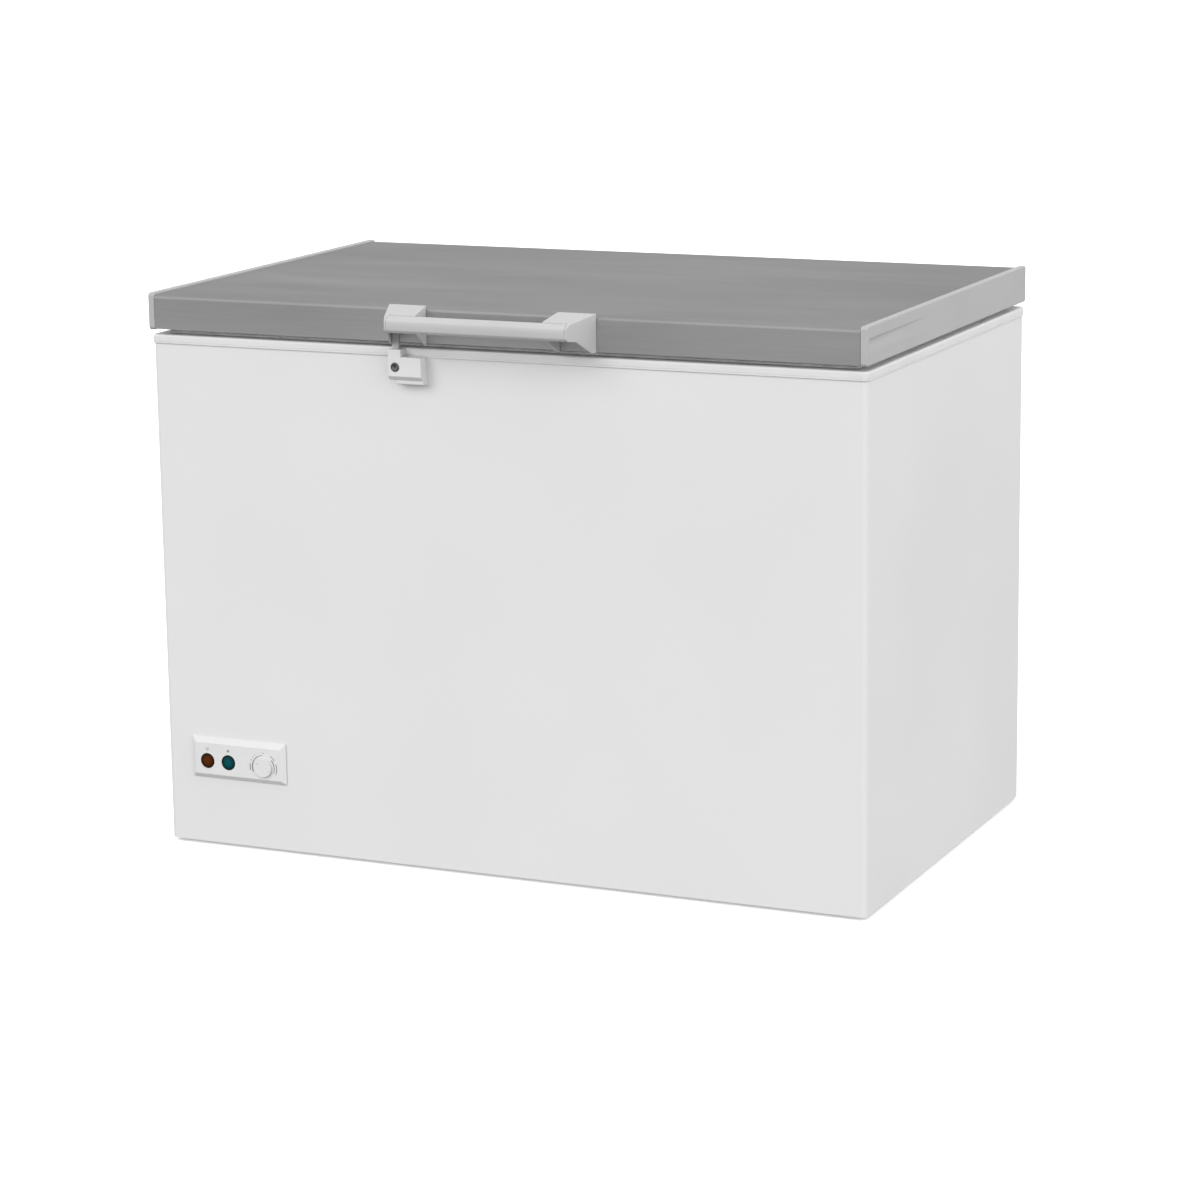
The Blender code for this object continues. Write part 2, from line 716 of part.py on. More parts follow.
def make_insulation_foam():
    """One block of foam, hollow for the tub, the bay and both tube bands."""
    low_y, high_y = inside_y(SEAT_GAP)
    side = HALF - INSIDE
    outline = rectangle(-side, side, low_y, high_y, WRAP_CORNER - INSIDE)
    foam = prism("insulation_foam", rounded(outline, 2), "z", PAN_TOP + SEAT_GAP, WRAP_TOP, FOAM)
    cut(foam, tub_solid("cut_foam_tub", SEAT_GAP, FOAM, rise=LINER_CORNER))
    bay_far = (SHROUD_X + SEAT_GAP, CABINET_DEPTH, BAY_HEIGHT + SEAT_GAP)
    bay = box("cut_foam_bay", (-CABINET_WIDTH, -CABINET_DEPTH, -FLOOR), bay_far, FOAM)
    low_z, high_z = evaporator_heights()
    room = 2 * EVAPORATOR_TUBE
    band = band_box(EVAPORATOR_BAND, low_z - room, high_z + room, "cut_foam_band")
    mouth = band_box(SEAT_GAP * 2, LINER_TOP - SEAT_GAP, CABINET_HEIGHT, "cut_foam_mouth", CORNER_STEPS)
    cut(foam, bay, band, mouth, condenser_band(), *pipe_holes("foam"))
    drain = turned("cut_foam_drain", drain_hole_profile(0), (DRAIN_X, 0, 0), "z", FOAM)
    return cut(foam, drain)


def condenser_band():
    """The strip of foam cut back behind the front and the sides, where the condenser lies."""
    low_z, high_z = condenser_heights()
    room = 2 * CONDENSER_TUBE
    inner = HALF - INSIDE - CONDENSER_BAND
    path = [
        (-inner, condenser_start()[1] + 3 * CONDENSER_TUBE, 0),
        (-inner, FRONT + INSIDE + CONDENSER_BAND, WRAP_CORNER),
        (inner, FRONT + INSIDE + CONDENSER_BAND, WRAP_CORNER),
        (inner, condenser_start()[1] + 3 * CONDENSER_TUBE, 0),
    ]
    outline = sheet_outline(path, -2 * CONDENSER_BAND, steps=2)
    return prism("cut_condenser_band", outline, "z", low_z - room, high_z + room, FOAM)


# ---------------------------------------------------------------- collar
def make_top_collar():
    """White frame round the mouth: outer skirt, flat top, inner skirt and basket ledge."""
    top = CABINET_HEIGHT
    inner = COLLAR_OVERHANG + WALL + COLLAR_SKIRT + SEAT_GAP
    skirt = COLLAR_OVERHANG - SEAT_GAP
    turn = COLLAR_ROUND
    under = top - COLLAR_PLATE
    corner = LINER_CORNER
    mouth = corner - COLLAR_SKIRT
    edge = mouth - LEDGE_WIDTH
    profile = [
        (0, COLLAR_BOTTOM, COLLAR_CORNER),
        (0, top - turn, COLLAR_CORNER),
        (0.3 * turn, top - 0.3 * turn, COLLAR_CORNER),
        (turn, top, COLLAR_CORNER - turn),
        (inner - turn / 2, top, mouth + turn / 2),
        (inner, top - turn / 2, mouth),
        (inner, LEDGE_TOP, mouth),
        (inner + LEDGE_WIDTH, LEDGE_TOP, edge),
        (inner + LEDGE_WIDTH, LEDGE_TOP - LEDGE_PLATE, edge),
        (inner - COLLAR_SKIRT, LEDGE_TOP - LEDGE_PLATE, corner),
        (inner - COLLAR_SKIRT, under, corner),
        (skirt, under, COLLAR_CORNER - skirt),
        (skirt, COLLAR_BOTTOM, COLLAR_CORNER - skirt),
    ]
    half = HALF + COLLAR_OVERHANG
    low_y = FRONT - COLLAR_OVERHANG
    high_y = BACK + COLLAR_OVERHANG
    return swept_frame("top_collar", half, low_y, high_y, profile, WHITE_PLASTIC)


# ---------------------------------------------------------------- lid
def lid_path(inset, lip):
    """The skin's section from the front lip round to the back lip, inset from the outside."""
    front = LID_FRONT + inset
    back = LID_BACK - inset
    bottom = LID_BOTTOM + inset
    top = LID_TOP - inset
    bend = LID_BEND - inset
    return [
        (front + lip, bottom, 0),
        (front, bottom, 0),
        (front, top, bend),
        (back, top, bend),
        (back, bottom, 0),
        (back - lip, bottom, 0),
    ]


def make_lid_skin():
    """Brushed sheet folded over the lid's front, top and back."""
    outline = sheet_outline(lid_path(0, LID_LIP), -LID_SHEET, steps=6)
    return prism("lid_skin", outline, "x", -SKIN_HALF, SKIN_HALF, STEEL)


def make_lid_liner():
    """White inner sheet with a raised middle that hangs into the mouth."""
    side = LID_SHEET + SEAT_GAP
    half = SKIN_HALF + LID_SHEET
    drop = LID_LINER_BOTTOM - PLUG_DROP
    sheet = LID_LINER_SHEET
    profile = [
        (PLUG_INSET + sheet, drop + sheet, PLUG_CORNER),
        (PLUG_INSET + sheet, LID_LINER_TOP, PLUG_CORNER),
        (side, LID_LINER_TOP, side),
        (side, LID_LINER_BOTTOM, side),
        (PLUG_INSET, LID_LINER_BOTTOM, PLUG_CORNER),
        (PLUG_INSET, drop, PLUG_CORNER),
    ]
    return swept_dish("lid_liner", half, LID_FRONT, LID_BACK, profile, WHITE_PLASTIC)


def make_lid_foam():
    """Foam that fills the lid, down into the liner's raised middle."""
    inset = LID_SHEET + SEAT_GAP
    outline = rounded(lid_path(inset, 0)[1:-1], 6)
    floor = LID_LINER_TOP + SEAT_GAP
    for point in outline:
        point.y = max(point.y, floor)
    foam = prism("lid_foam", outline, "x", -SKIN_HALF + SEAT_GAP, SKIN_HALF - SEAT_GAP, FOAM)
    plug_inset = PLUG_INSET + LID_LINER_SHEET + SEAT_GAP
    bottom = LID_LINER_BOTTOM - PLUG_DROP + LID_LINER_SHEET + SEAT_GAP
    half = SKIN_HALF + LID_SHEET
    profile = [(plug_inset, bottom, PLUG_CORNER), (plug_inset, floor + LID_GAP, PLUG_CORNER)]
    return join(foam, swept_dish("join_foam_plug", half, LID_FRONT, LID_BACK, profile, FOAM))


def make_lid_gasket():
    """Soft seal between the lid and the collar's top."""
    low = CABINET_HEIGHT + SEAT_GAP
    high = LID_BOTTOM + LID_SHEET
    inner = GASKET_INSET + GASKET_WIDTH
    bulge = GASKET_WIDTH / 6
    corner = GASKET_CORNER
    profile = [
        (GASKET_INSET + bulge, low, corner),
        (GASKET_INSET, low + bulge, corner),
        (GASKET_INSET + bulge, high, corner),
        (inner - bulge, high, corner),
        (inner, low + bulge, corner),
        (inner - bulge, low, corner),
    ]
    return swept_frame("lid_gasket", LID_HALF, LID_FRONT, LID_BACK, profile, GREY_SEAL)


def recess_wedge(name, side):
    """Wedge-shaped finger recess: deep at the front, with a sharp top and a sloping lower wall."""
    outer = side * (LID_HALF + CAP_RISE)
    face = side * LID_HALF
    deep = side * (LID_HALF - RECESS_DEPTH)
    start = LID_FRONT + RECESS_START - CAP_PROUD
    end = start + RECESS_LENGTH
    top = CAP_TOP - RECESS_BELOW
    bottom = top - RECESS_HEIGHT
    crease = bottom + RECESS_SLOPE
    spread = CAP_RISE * RECESS_SLOPE / RECESS_DEPTH
    front = [(outer, start, bottom - spread), (outer, start, top), (deep, start, top), (deep, start, crease)]
    rear = [(outer, end, bottom - spread), (outer, end, top), (face, end, top), (face, end, bottom)]
    bm = bmesh.new()
    rings = [[bm.verts.new(point) for point in points] for points in (front, rear)]
    bridge(bm, rings)
    bm.faces.new(rings[0])
    bm.faces.new(rings[1])
    return from_bmesh(name, bm, GREY_PLASTIC)


def make_end_cap(name, side):
    """Moulded end of the lid, proud of the steel all round."""
    front = LID_FRONT - CAP_PROUD
    back = LID_BACK + CAP_PROUD
    outline = rounded(rectangle(front, back, CAP_BOTTOM, CAP_TOP, CAP_CORNER), 4)
    ends = sorted((side * (SKIN_HALF + SEAT_GAP), side * LID_HALF))
    cap = prism(name, outline, "x", *ends, GREY_PLASTIC)
    add_bevel(cap, CAP_BEVEL, 2)
    return cut(cap, recess_wedge(f"cut_{name}", side))


# ---------------------------------------------------------------- handle
def bar_section():
    """The bar's section in y, z: two facets at the front, flat behind."""
    front = BAR_FRONT
    back = BAR_FRONT + BAR_DEPTH
    top = BAR_TOP
    bottom = BAR_BOTTOM
    crease = (top + bottom) / 2
    corners = [
        (back, bottom, 0),
        (back, top, 0),
        (front + BAR_CROWN, top, BAR_ROUND),
        (front + BAR_SLANT, top - BAR_SHOULDER, BAR_ROUND + BAR_SLANT),
        (front, crease, 0),
        (front + 1.5 * BAR_SLANT, bottom + BAR_HEEL, BAR_ROUND),
        (front + BAR_SOLE, bottom, BAR_ROUND),
    ]
    return rounded(corners, 2)


def make_handle_bar():
    """The grip, held between the outer walls of its brackets."""
    half = HANDLE_SPAN / 2 - BRACKET_SPLAY * HANDLE_OUT - BRACKET_WALL
    return prism("handle_bar", bar_section(), "x", -half, half, GREY_PLASTIC)


def bracket_x(y, wall, outer):
    """Distance from the middle of the outer or inner wall of a bracket at depth y."""
    reach = LID_FRONT - y
    if outer:
        return HANDLE_SPAN / 2 - BRACKET_SPLAY * reach - wall
    return HANDLE_SPAN / 2 - BRACKET_WIDTH - BRACKET_LEAN * reach + wall


def bracket_solid(name, side, outline, wall):
    """A side view (y, z) given its width by the bracket's splayed walls."""
    bm = bmesh.new()
    rings = []
    for outer in (False, True):
        rings.append([bm.verts.new((side * bracket_x(y, wall, outer), y, z)) for y, z in outline])
    bridge(bm, rings)
    bm.faces.new(rings[0])
    bm.faces.new(rings[1])
    return from_bmesh(name, bm, GREY_PLASTIC)


def make_handle_bracket(name, side):
    """Hollow moulding from the lid's front to the bar, open below and behind."""
    foot = LID_FRONT - SEAT_GAP
    front = BAR_FRONT
    low = CAP_BOTTOM
    shell = [
        (foot, low, 0),
        (foot, BRACKET_TOP, 0),
        (front + BAR_CROWN, BAR_TOP, BAR_ROUND),
        (front, BAR_TOP - BAR_SHOULDER, BAR_ROUND),
        (front, BAR_BOTTOM + BAR_HEEL, BAR_ROUND),
        (front + BAR_SOLE, BAR_BOTTOM, BAR_ROUND),
        (front + BRACKET_SOLE, BAR_BOTTOM - 2 * BAR_SLANT, 0),
        (foot - BRACKET_CHAMFER / 2, low, 0),
    ]
    bracket = bracket_solid(name, side, rounded(shell, 2), 0)
    wall = BRACKET_WALL
    deep = low - wall
    hollow = [
        (LID_FRONT + wall, deep, 0),
        (LID_FRONT + wall, BRACKET_TOP - wall, 0),
        (foot, BRACKET_TOP - wall, 0),
        (front + BAR_DEPTH + wall, BAR_TOP - wall, 0),
        (front + BAR_DEPTH + wall, deep, 0),
    ]
    cut(bracket, bracket_solid(f"cut_{name}", side, rounded(hollow), wall))
    half = HANDLE_SPAN / 2 - BRACKET_SPLAY * HANDLE_OUT - wall + SEAT_GAP
    left, right = sorted((0, side * half))
    low = (left, front - BAR_ROUND, BAR_BOTTOM - BAR_ROUND)
    high = (right, front + BAR_DEPTH + SEAT_GAP, BRACKET_TOP)
    return cut(bracket, box(f"cut_{name}_bar", low, high, GREY_PLASTIC))


# ---------------------------------------------------------------- lock
def tongue_left():
    """The tongue's left edge, against the inside of the left bracket's outer wall."""
    return SEAT_GAP - bracket_x(TONGUE_Y - TONGUE_THICKNESS / 2, BRACKET_WALL, outer=True)


def make_lock_tongue():
    """Grey tongue under the left bracket, with a round bite for the lock's cam."""
    low_y = TONGUE_Y - TONGUE_THICKNESS / 2
    blade_right = BARREL_X - BARREL_SHAFT - 2 * CAM_CLEARANCE
    strip_left = tongue_left()
    blade_left = strip_left + CAM_CLEARANCE
    neck = LOCK_TOP - LOCK_WALL
    wide = neck + TONGUE_NARROWING
    top = LID_TOP - BRACKET_WALL
    tip = BARREL_Z - TONGUE_TIP
    outline = [
        (blade_left, tip, 0.001),
        (blade_right, tip, 0.001),
        (blade_right, neck, 0),
        (strip_left + TONGUE_WIDTH, wide, 0),
        (strip_left + TONGUE_WIDTH, top, 0),
        (strip_left, top, 0),
        (strip_left, wide, 0),
        (blade_left, neck, 0),
    ]
    tongue = prism("lock_tongue", rounded(outline, 2), "y", low_y, low_y + TONGUE_THICKNESS, GREY_PLASTIC)
    bite = CAM_RADIUS + CAM_CLEARANCE
    profile = [(bite, -TONGUE_THICKNESS), (bite, TONGUE_THICKNESS)]
    return cut(tongue, turned("cut_tongue", profile, (BARREL_X, TONGUE_Y, BARREL_Z), "-y", GREY_PLASTIC))


def tongue_slot():
    """Left and right sides of the slot that the tongue drops into."""
    return tongue_left() - CAM_CLEARANCE, tongue_left() + TONGUE_WIDTH + CAM_CLEARANCE


def make_lock_housing():
    """White box on the front with a throat for the tongue, open behind."""
    right = LOCK_LEFT + LOCK_WIDTH
    seat = FRONT - SEAT_GAP
    skirt = FRONT - COLLAR_OVERHANG - SEAT_GAP
    side_view = [
        (LOCK_FACE, LOCK_BOTTOM + LOCK_CHAMFER, 0.002),
        (LOCK_FACE, LOCK_TOP, 0.002),
        (skirt, LOCK_TOP, 0),
        (skirt, COLLAR_BOTTOM - SEAT_GAP, 0),
        (seat, COLLAR_BOTTOM - SEAT_GAP, 0),
        (seat, LOCK_BOTTOM - LOCK_CHAMFER, 0),
        (LOCK_FACE + LOCK_CHAMFER, LOCK_BOTTOM - LOCK_CHAMFER, 0.002),
        (LOCK_FACE + LOCK_CHAMFER, LOCK_BOTTOM, 0),
    ]
    housing = prism("lock_housing", rounded(side_view, 2), "x", LOCK_LEFT, right, WHITE_PLASTIC)
    throat = box(
        "join_throat",
        (LOCK_LEFT, LOCK_FACE, LOCK_TOP - LOCK_CHAMFER),
        (LOCK_LEFT + THROAT_WIDTH, skirt, CABINET_HEIGHT - 0.001),
        WHITE_PLASTIC,
        0.0012,
    )
    join(housing, throat)
    wall = LOCK_WALL
    hollow = box(
        "cut_lock",
        (LOCK_LEFT + wall / 2, LOCK_FACE + wall, LOCK_BOTTOM + LOCK_CHAMFER),
        (right - wall, seat + wall, COLLAR_BOTTOM - wall),
        WHITE_PLASTIC,
    )
    left_slot, right_slot = tongue_slot()
    reach = TONGUE_THICKNESS / 2 + 2 * CAM_CLEARANCE
    slot = box(
        "cut_slot",
        (left_slot, TONGUE_Y - reach, LOCK_TOP - LOCK_CHAMFER),
        (right_slot, TONGUE_Y + reach, CABINET_HEIGHT + wall),
        WHITE_PLASTIC,
    )
    bore = [(BARREL_RADIUS + CAM_CLEARANCE, -LOCK_WALL), (BARREL_RADIUS + CAM_CLEARANCE, 2 * LOCK_WALL)]
    hole = turned("cut_barrel", bore, (BARREL_X, LOCK_FACE + LOCK_WALL, BARREL_Z), "-y", WHITE_PLASTIC)
    corner = box(
        "cut_corner",
        (LOCK_LEFT - wall, LOCK_FACE - wall, LOCK_BOTTOM - LOCK_CHAMFER - wall),
        (LOCK_LEFT + LOCK_LIP_START, seat + wall, LOCK_BOTTOM),
        WHITE_PLASTIC,
    )
    return cut(housing, hollow, slot, hole, corner)


def make_lock_barrel():
    """Chrome barrel with a key slot, and the shaft that carries the cam."""
    front = LOCK_FACE - BARREL_PROUD
    length = TONGUE_Y + CAM_THICKNESS - front
    profile = [
        (BARREL_SHAFT, -length),
        (BARREL_SHAFT, -BARREL_LENGTH),
        (BARREL_RADIUS, -BARREL_LENGTH),
        (BARREL_RADIUS, -0.0008),
        (BARREL_RADIUS - 0.0008, 0),
    ]
    barrel = turned("lock_barrel", profile, (BARREL_X, front, BARREL_Z), "-y", CHROME, steps=24)
    half = KEY_SLOT / 2
    slot = box(
        "cut_key",
        (BARREL_X - half, front - LOCK_WALL, BARREL_Z - 0.0032),
        (BARREL_X + half, front + BARREL_LENGTH / 2, BARREL_Z + 0.0032),
        CHROME,
    )
    return cut(barrel, slot)


def make_lock_cam():
    """Half-round cam on the barrel's shaft; a quarter turn puts it into the tongue's bite."""
    turns = [math.pi * i / 12 for i in range(13)]
    arc = [(CAM_RADIUS * math.sin(a), CAM_RADIUS * -math.cos(a)) for a in turns]
    hub = 1.6 * BARREL_SHAFT
    outline = [Vector((BARREL_X + u, BARREL_Z + v)) for u, v in arc]
    outline += [Vector((BARREL_X, BARREL_Z + hub)), Vector((BARREL_X, BARREL_Z - hub))]
    low = TONGUE_Y - CAM_THICKNESS / 2
    cam = prism("lock_cam", outline, "y", low, low + CAM_THICKNESS, ZINC)
    radius = BARREL_SHAFT + SEAT_GAP
    profile = [(radius, -CAM_THICKNESS), (radius, CAM_THICKNESS)]
    return cut(cam, turned("cut_cam", profile, (BARREL_X, TONGUE_Y, BARREL_Z), "-y", ZINC, steps=16))


# ---------------------------------------------------------------- control panel
def spigot_outline(inset):
    """Left, right, bottom and top of the panel's spigot, inset from its own size."""
    left = PANEL_LEFT + SPIGOT_INSET + inset
    right = PANEL_LEFT + PANEL_WIDTH - SPIGOT_INSET - inset
    bottom = PANEL_BOTTOM + SPIGOT_INSET + inset
    return left, right, bottom, PANEL_BOTTOM + PANEL_HEIGHT - SPIGOT_INSET - inset


def make_control_panel():
    """Bevelled white bezel with a hollow spigot through the wrap."""
    right = PANEL_LEFT + PANEL_WIDTH
    top = PANEL_BOTTOM + PANEL_HEIGHT
    base = rectangle(PANEL_LEFT, right, PANEL_BOTTOM, top, 0.002)
    face = rectangle(
        PANEL_LEFT + PANEL_SIDE_BEVEL,
        right - PANEL_SIDE_BEVEL,
        PANEL_BOTTOM + PANEL_BOTTOM_BEVEL,
        top - PANEL_TOP_BEVEL,
        0.002,
    )
    bm = bmesh.new()
    rings = []
    for outline, y in ((base, FRONT - SEAT_GAP), (base, FRONT - 0.0018), (face, PANEL_FACE_Y)):
        rings.append([bm.verts.new((p.x, y, p.y)) for p in rounded(outline, 2)])
    bridge(bm, rings)
    bm.faces.new(rings[0])
    bm.faces.new(rings[-1])
    panel = from_bmesh("control_panel", bm, WHITE_PLASTIC)
    low_x, high_x, low_z, high_z = spigot_outline(0)
    rear = FRONT + SPIGOT_DEPTH
    join(panel, box("join_spigot", (low_x, FRONT - 0.003, low_z), (high_x, rear, high_z), WHITE_PLASTIC))
    low_x, high_x, low_z, high_z = spigot_outline(PANEL_FACE)
    inner = PANEL_FACE_Y + PANEL_FACE
    cut(panel, box("cut_spigot", (low_x, inner, low_z), (high_x, rear + WALL / 2, high_z), WHITE_PLASTIC))
    for tag, x, z, radius in (
        ("amber", AMBER_X, LAMPS_Z, LENS_RADIUS + LENS_CLEARANCE),
        ("green", GREEN_X, LAMPS_Z, LENS_RADIUS + LENS_CLEARANCE),
        ("dial", DIAL_X, DIAL_Z, DIAL_SHAFT + 2 * LENS_CLEARANCE),
    ):
        profile = [(radius, -PANEL_PROUD), (radius, PANEL_PROUD)]
        cut(panel, turned(f"cut_{tag}", profile, (x, PANEL_FACE_Y, z), "-y", WHITE_PLASTIC))
    return panel


def make_lens(name, x, kind):
    """Slightly crowned round lens, flush in the panel, with a stem behind."""
    rear = -PANEL_FACE - 0.001
    profile = [
        (LAMP_RADIUS, rear),
        (LENS_RADIUS, rear),
        (LENS_RADIUS, 0),
        (0.8 * LENS_RADIUS, 0.6 * LENS_CROWN),
        (0.4 * LENS_RADIUS, LENS_CROWN),
    ]
    return turned(name, profile, (x, PANEL_FACE_Y, LAMPS_Z), "-y", kind)


def make_lamp(name, x):
    """Lamp holder behind a lens."""
    front = PANEL_FACE_Y + PANEL_FACE + 0.001 + SEAT_GAP
    profile = [
        (LAMP_RADIUS / 2, -LAMP_LENGTH),
        (LAMP_RADIUS, -LAMP_LENGTH + 0.004),
        (LAMP_RADIUS, 0),
    ]
    return turned(name, profile, (x, front, LAMPS_Z), "-y", BLACK_PLASTIC, steps=16)


def make_thermostat_body():
    """Thermostat box behind the panel, with the shaft that carries the dial."""
    front = PANEL_FACE_Y + PANEL_FACE + SEAT_GAP
    half_x = THERMOSTAT.x / 2
    half_z = THERMOSTAT.z / 2
    low = (DIAL_X - half_x, front, DIAL_Z - half_z)
    high = (DIAL_X + half_x, front + THERMOSTAT.y, DIAL_Z + half_z)
    body = box("thermostat_body", low, high, ZINC, 0.001, 1)
    tip = front - PANEL_FACE - DIAL_THICKNESS / 2
    profile = [(DIAL_SHAFT - SEAT_GAP, -0.004), (DIAL_SHAFT - SEAT_GAP, front - tip)]
    return join(body, turned("join_shaft", profile, (DIAL_X, front, DIAL_Z), "-y", ZINC, steps=16))


def make_thermostat_dial():
    """White dial with a coin slot, pushed on the thermostat's shaft."""
    rear = PANEL_FACE_Y - SEAT_GAP
    profile = [
        (DIAL_RADIUS, 0),
        (DIAL_RADIUS, DIAL_THICKNESS - 0.0006),
        (DIAL_RADIUS - 0.0006, DIAL_THICKNESS),
    ]
    dial = turned("thermostat_dial", profile, (DIAL_X, rear, DIAL_Z), "-y", WHITE_PLASTIC, steps=40)
    depth = DIAL_THICKNESS / 3
    bm = bmesh.new()
    reach = DIAL_RADIUS * 0.8
    half = DIAL_SLOT / 2
    add_box(bm, (-reach, -DIAL_THICKNESS - depth, -half), (reach, -DIAL_THICKNESS + depth, half))
    turn = Matrix.Rotation(DIAL_SLOT_ANGLE, 4, "Y")
    bmesh.ops.transform(bm, matrix=Matrix.Translation((DIAL_X, rear, DIAL_Z)) @ turn, verts=bm.verts)
    slot = from_bmesh("cut_dial_slot", bm, WHITE_PLASTIC)
    bore = [(DIAL_SHAFT, -depth), (DIAL_SHAFT, DIAL_THICKNESS / 2 + SEAT_GAP)]
    centre = (DIAL_X, rear, DIAL_Z)
    return cut(dial, slot, turned("cut_dial_bore", bore, centre, "-y", WHITE_PLASTIC, steps=16))


# ---------------------------------------------------------------- compressor bay
def make_compressor():
    """Steel pot on a plate, on four rubber mounts, with its starting relay."""
    radius = POT_RADIUS
    profile = [
        (0.45 * radius, 0),
        (0.80 * radius, 0.05 * POT_HEIGHT),
        (radius, 0.22 * POT_HEIGHT),
        (radius, 0.50 * POT_HEIGHT),
        (1.03 * radius, 0.52 * POT_HEIGHT),
        (1.03 * radius, 0.56 * POT_HEIGHT),
        (0.98 * radius, 0.58 * POT_HEIGHT),
        (0.92 * radius, 0.80 * POT_HEIGHT),
        (0.66 * radius, 0.95 * POT_HEIGHT),
        (0.30 * radius, POT_HEIGHT),
    ]
    turned("compressor_shell", profile, (POT_X, POT_Y, POT_BOTTOM), "z", BLACK_ENAMEL, steps=28)
    low_x = POT_X - PLATE_SIZE.x / 2
    low_y = POT_Y - PLATE_SIZE.y / 2
    plate_z = PAN_TOP + 2 * SEAT_GAP + MOUNT_HEIGHT
    high = (low_x + PLATE_SIZE.x, low_y + PLATE_SIZE.y, plate_z + PLATE_SIZE.z)
    box("compressor_base_plate", (low_x, low_y, plate_z), high, BLACK_ENAMEL)
    number = 0
    for x in (low_x + MOUNT_INSET, low_x + PLATE_SIZE.x - MOUNT_INSET):
        for y in (low_y + MOUNT_INSET, low_y + PLATE_SIZE.y - MOUNT_INSET):
            number += 1
            waist = 0.75 * MOUNT_RADIUS
            bush = [(MOUNT_RADIUS, 0), (waist, MOUNT_HEIGHT / 2), (MOUNT_RADIUS, MOUNT_HEIGHT)]
            turned(f"compressor_mount_{number}", bush, (x, y, PAN_TOP + SEAT_GAP), "z", RUBBER, steps=14)


def make_start_relay():
    """Relay box on the side of the compressor that faces the front."""
    high_y = POT_Y - 1.03 * POT_RADIUS - SEAT_GAP
    low_z = POT_BOTTOM + 0.3 * POT_HEIGHT
    low = (POT_X - RELAY.x / 2, high_y - RELAY.y, low_z)
    return box("start_relay", low, (POT_X + RELAY.x / 2, high_y, low_z + RELAY.z), BLACK_PLASTIC, 0.003, 1)


def make_filter_drier():
    """Copper drier, upright beside the compressor."""
    x = SHROUD_X - 3 * DRIER_RADIUS
    length = DRIER_LENGTH
    neck = 0.3 * DRIER_RADIUS
    profile = [
        (neck, 0),
        (neck, 0.10 * length),
        (DRIER_RADIUS, 0.22 * length),
        (DRIER_RADIUS, 0.80 * length),
        (neck, 0.92 * length),
        (neck, length),
    ]
    return turned("filter_drier", profile, (x, POT_Y - 0.16, PAN_TOP + 0.10), "z", COPPER, steps=16)


def arc_route(corners, radius, steps=3):
    """A route of 3-D corners, each rounded by an arc, as points."""
    route = [Vector(corners[0])]
    for before, corner, after in zip(corners, corners[1:], corners[2:]):
        corner = Vector(corner)
        back = (Vector(before) - corner).normalized()
        ahead = (Vector(after) - corner).normalized()
        half = back.angle(ahead) / 2
        centre = corner + (back + ahead).normalized() * (radius / math.sin(half))
        start = corner + back * (radius / math.tan(half)) - centre
        turn = start.rotation_difference(corner + ahead * (radius / math.tan(half)) - centre)
        for step in range(steps + 1):
            spin = Matrix.Rotation(turn.angle * step / steps, 3, turn.axis)
            route.append(centre + spin @ start)
    route.append(Vector(corners[-1]))
    return route


def evaporator_turns():
    """The evaporator's corners, climbing steadily round the tub."""
    grow = EVAPORATOR_TUBE / 2 + SEAT_GAP
    low_z, high_z = evaporator_heights()
    half = TUB_HALF + grow
    front = TUB_FRONT - grow
    back = TUB_BACK + grow
    corners = [(-half, front), (half, front), (half, back), (-half, back)]
    total = 4 * EVAPORATOR_TURNS
    return [(*corners[i % 4], low_z + (high_z - low_z) * (i + 1) / total) for i in range(total)]


def make_evaporator_tube():
    """Aluminium tube coiled round the tub, both ends brought down into the bay."""
    (first_x, first_y), (last_x, last_y) = evaporator_exits()
    low_z, high_z = evaporator_heights()
    end_z = BAY_HEIGHT - PIPE_STUB
    bend = 0.5 * EVAPORATOR_TUBE
    start = (first_x, first_y - EVAPORATOR_TUBE, low_z)
    stop = (first_x, last_y + EVAPORATOR_TUBE, high_z)
    head = arc_route([(first_x, first_y, end_z), (first_x, first_y, low_z), start], bend)
    coil = arc_route([start, *evaporator_turns(), stop], LINER_CORNER + EVAPORATOR_TUBE / 2 + SEAT_GAP)
    down = [(first_x, last_y, high_z), (last_x, last_y, high_z), (last_x, last_y, end_z)]
    tail = arc_route([stop, *down], bend)
    return tube("evaporator_tube", head + coil[1:] + tail[1:], EVAPORATOR_TUBE, ALUMINIUM)


def make_condenser_tube():
    """Tube run to and fro behind the front and both sides, just inside the wrap."""
    offset = INSIDE + CONDENSER_TUBE / 2 + SEAT_GAP
    x = HALF - offset
    front = FRONT + offset
    start_x, start_y = condenser_start()
    low_z, high_z = condenser_heights()
    corners = [(start_x, start_y, BAY_HEIGHT - PIPE_STUB), (start_x, start_y, low_z)]
    for run in range(CONDENSER_RUNS):
        z = low_z + (high_z - low_z) * run / (CONDENSER_RUNS - 1)
        level = [(-x, start_y, z), (-x, front, z), (x, front, z), (x, start_y, z)]
        corners += level if run % 2 == 0 else level[::-1]
    corners.pop(2)
    return tube("condenser_tube", arc_route(corners, 2 * CONDENSER_TUBE), CONDENSER_TUBE, COPPER)


def make_discharge_pipe():
    """Copper pipe from the compressor up to the condenser's lower end."""
    start_x, start_y = condenser_start()
    top = BAY_HEIGHT - PIPE_STUB - SEAT_GAP
    z = POT_BOTTOM + 0.36 * POT_HEIGHT
    edge = POT_X - POT_RADIUS - 0.001
    corners = [(edge, POT_Y, z), (start_x, POT_Y, z), (start_x, start_y, z + 0.03), (start_x, start_y, top)]
    return tube("discharge_pipe", arc_route(corners, 0.010), DISCHARGE_TUBE, COPPER)


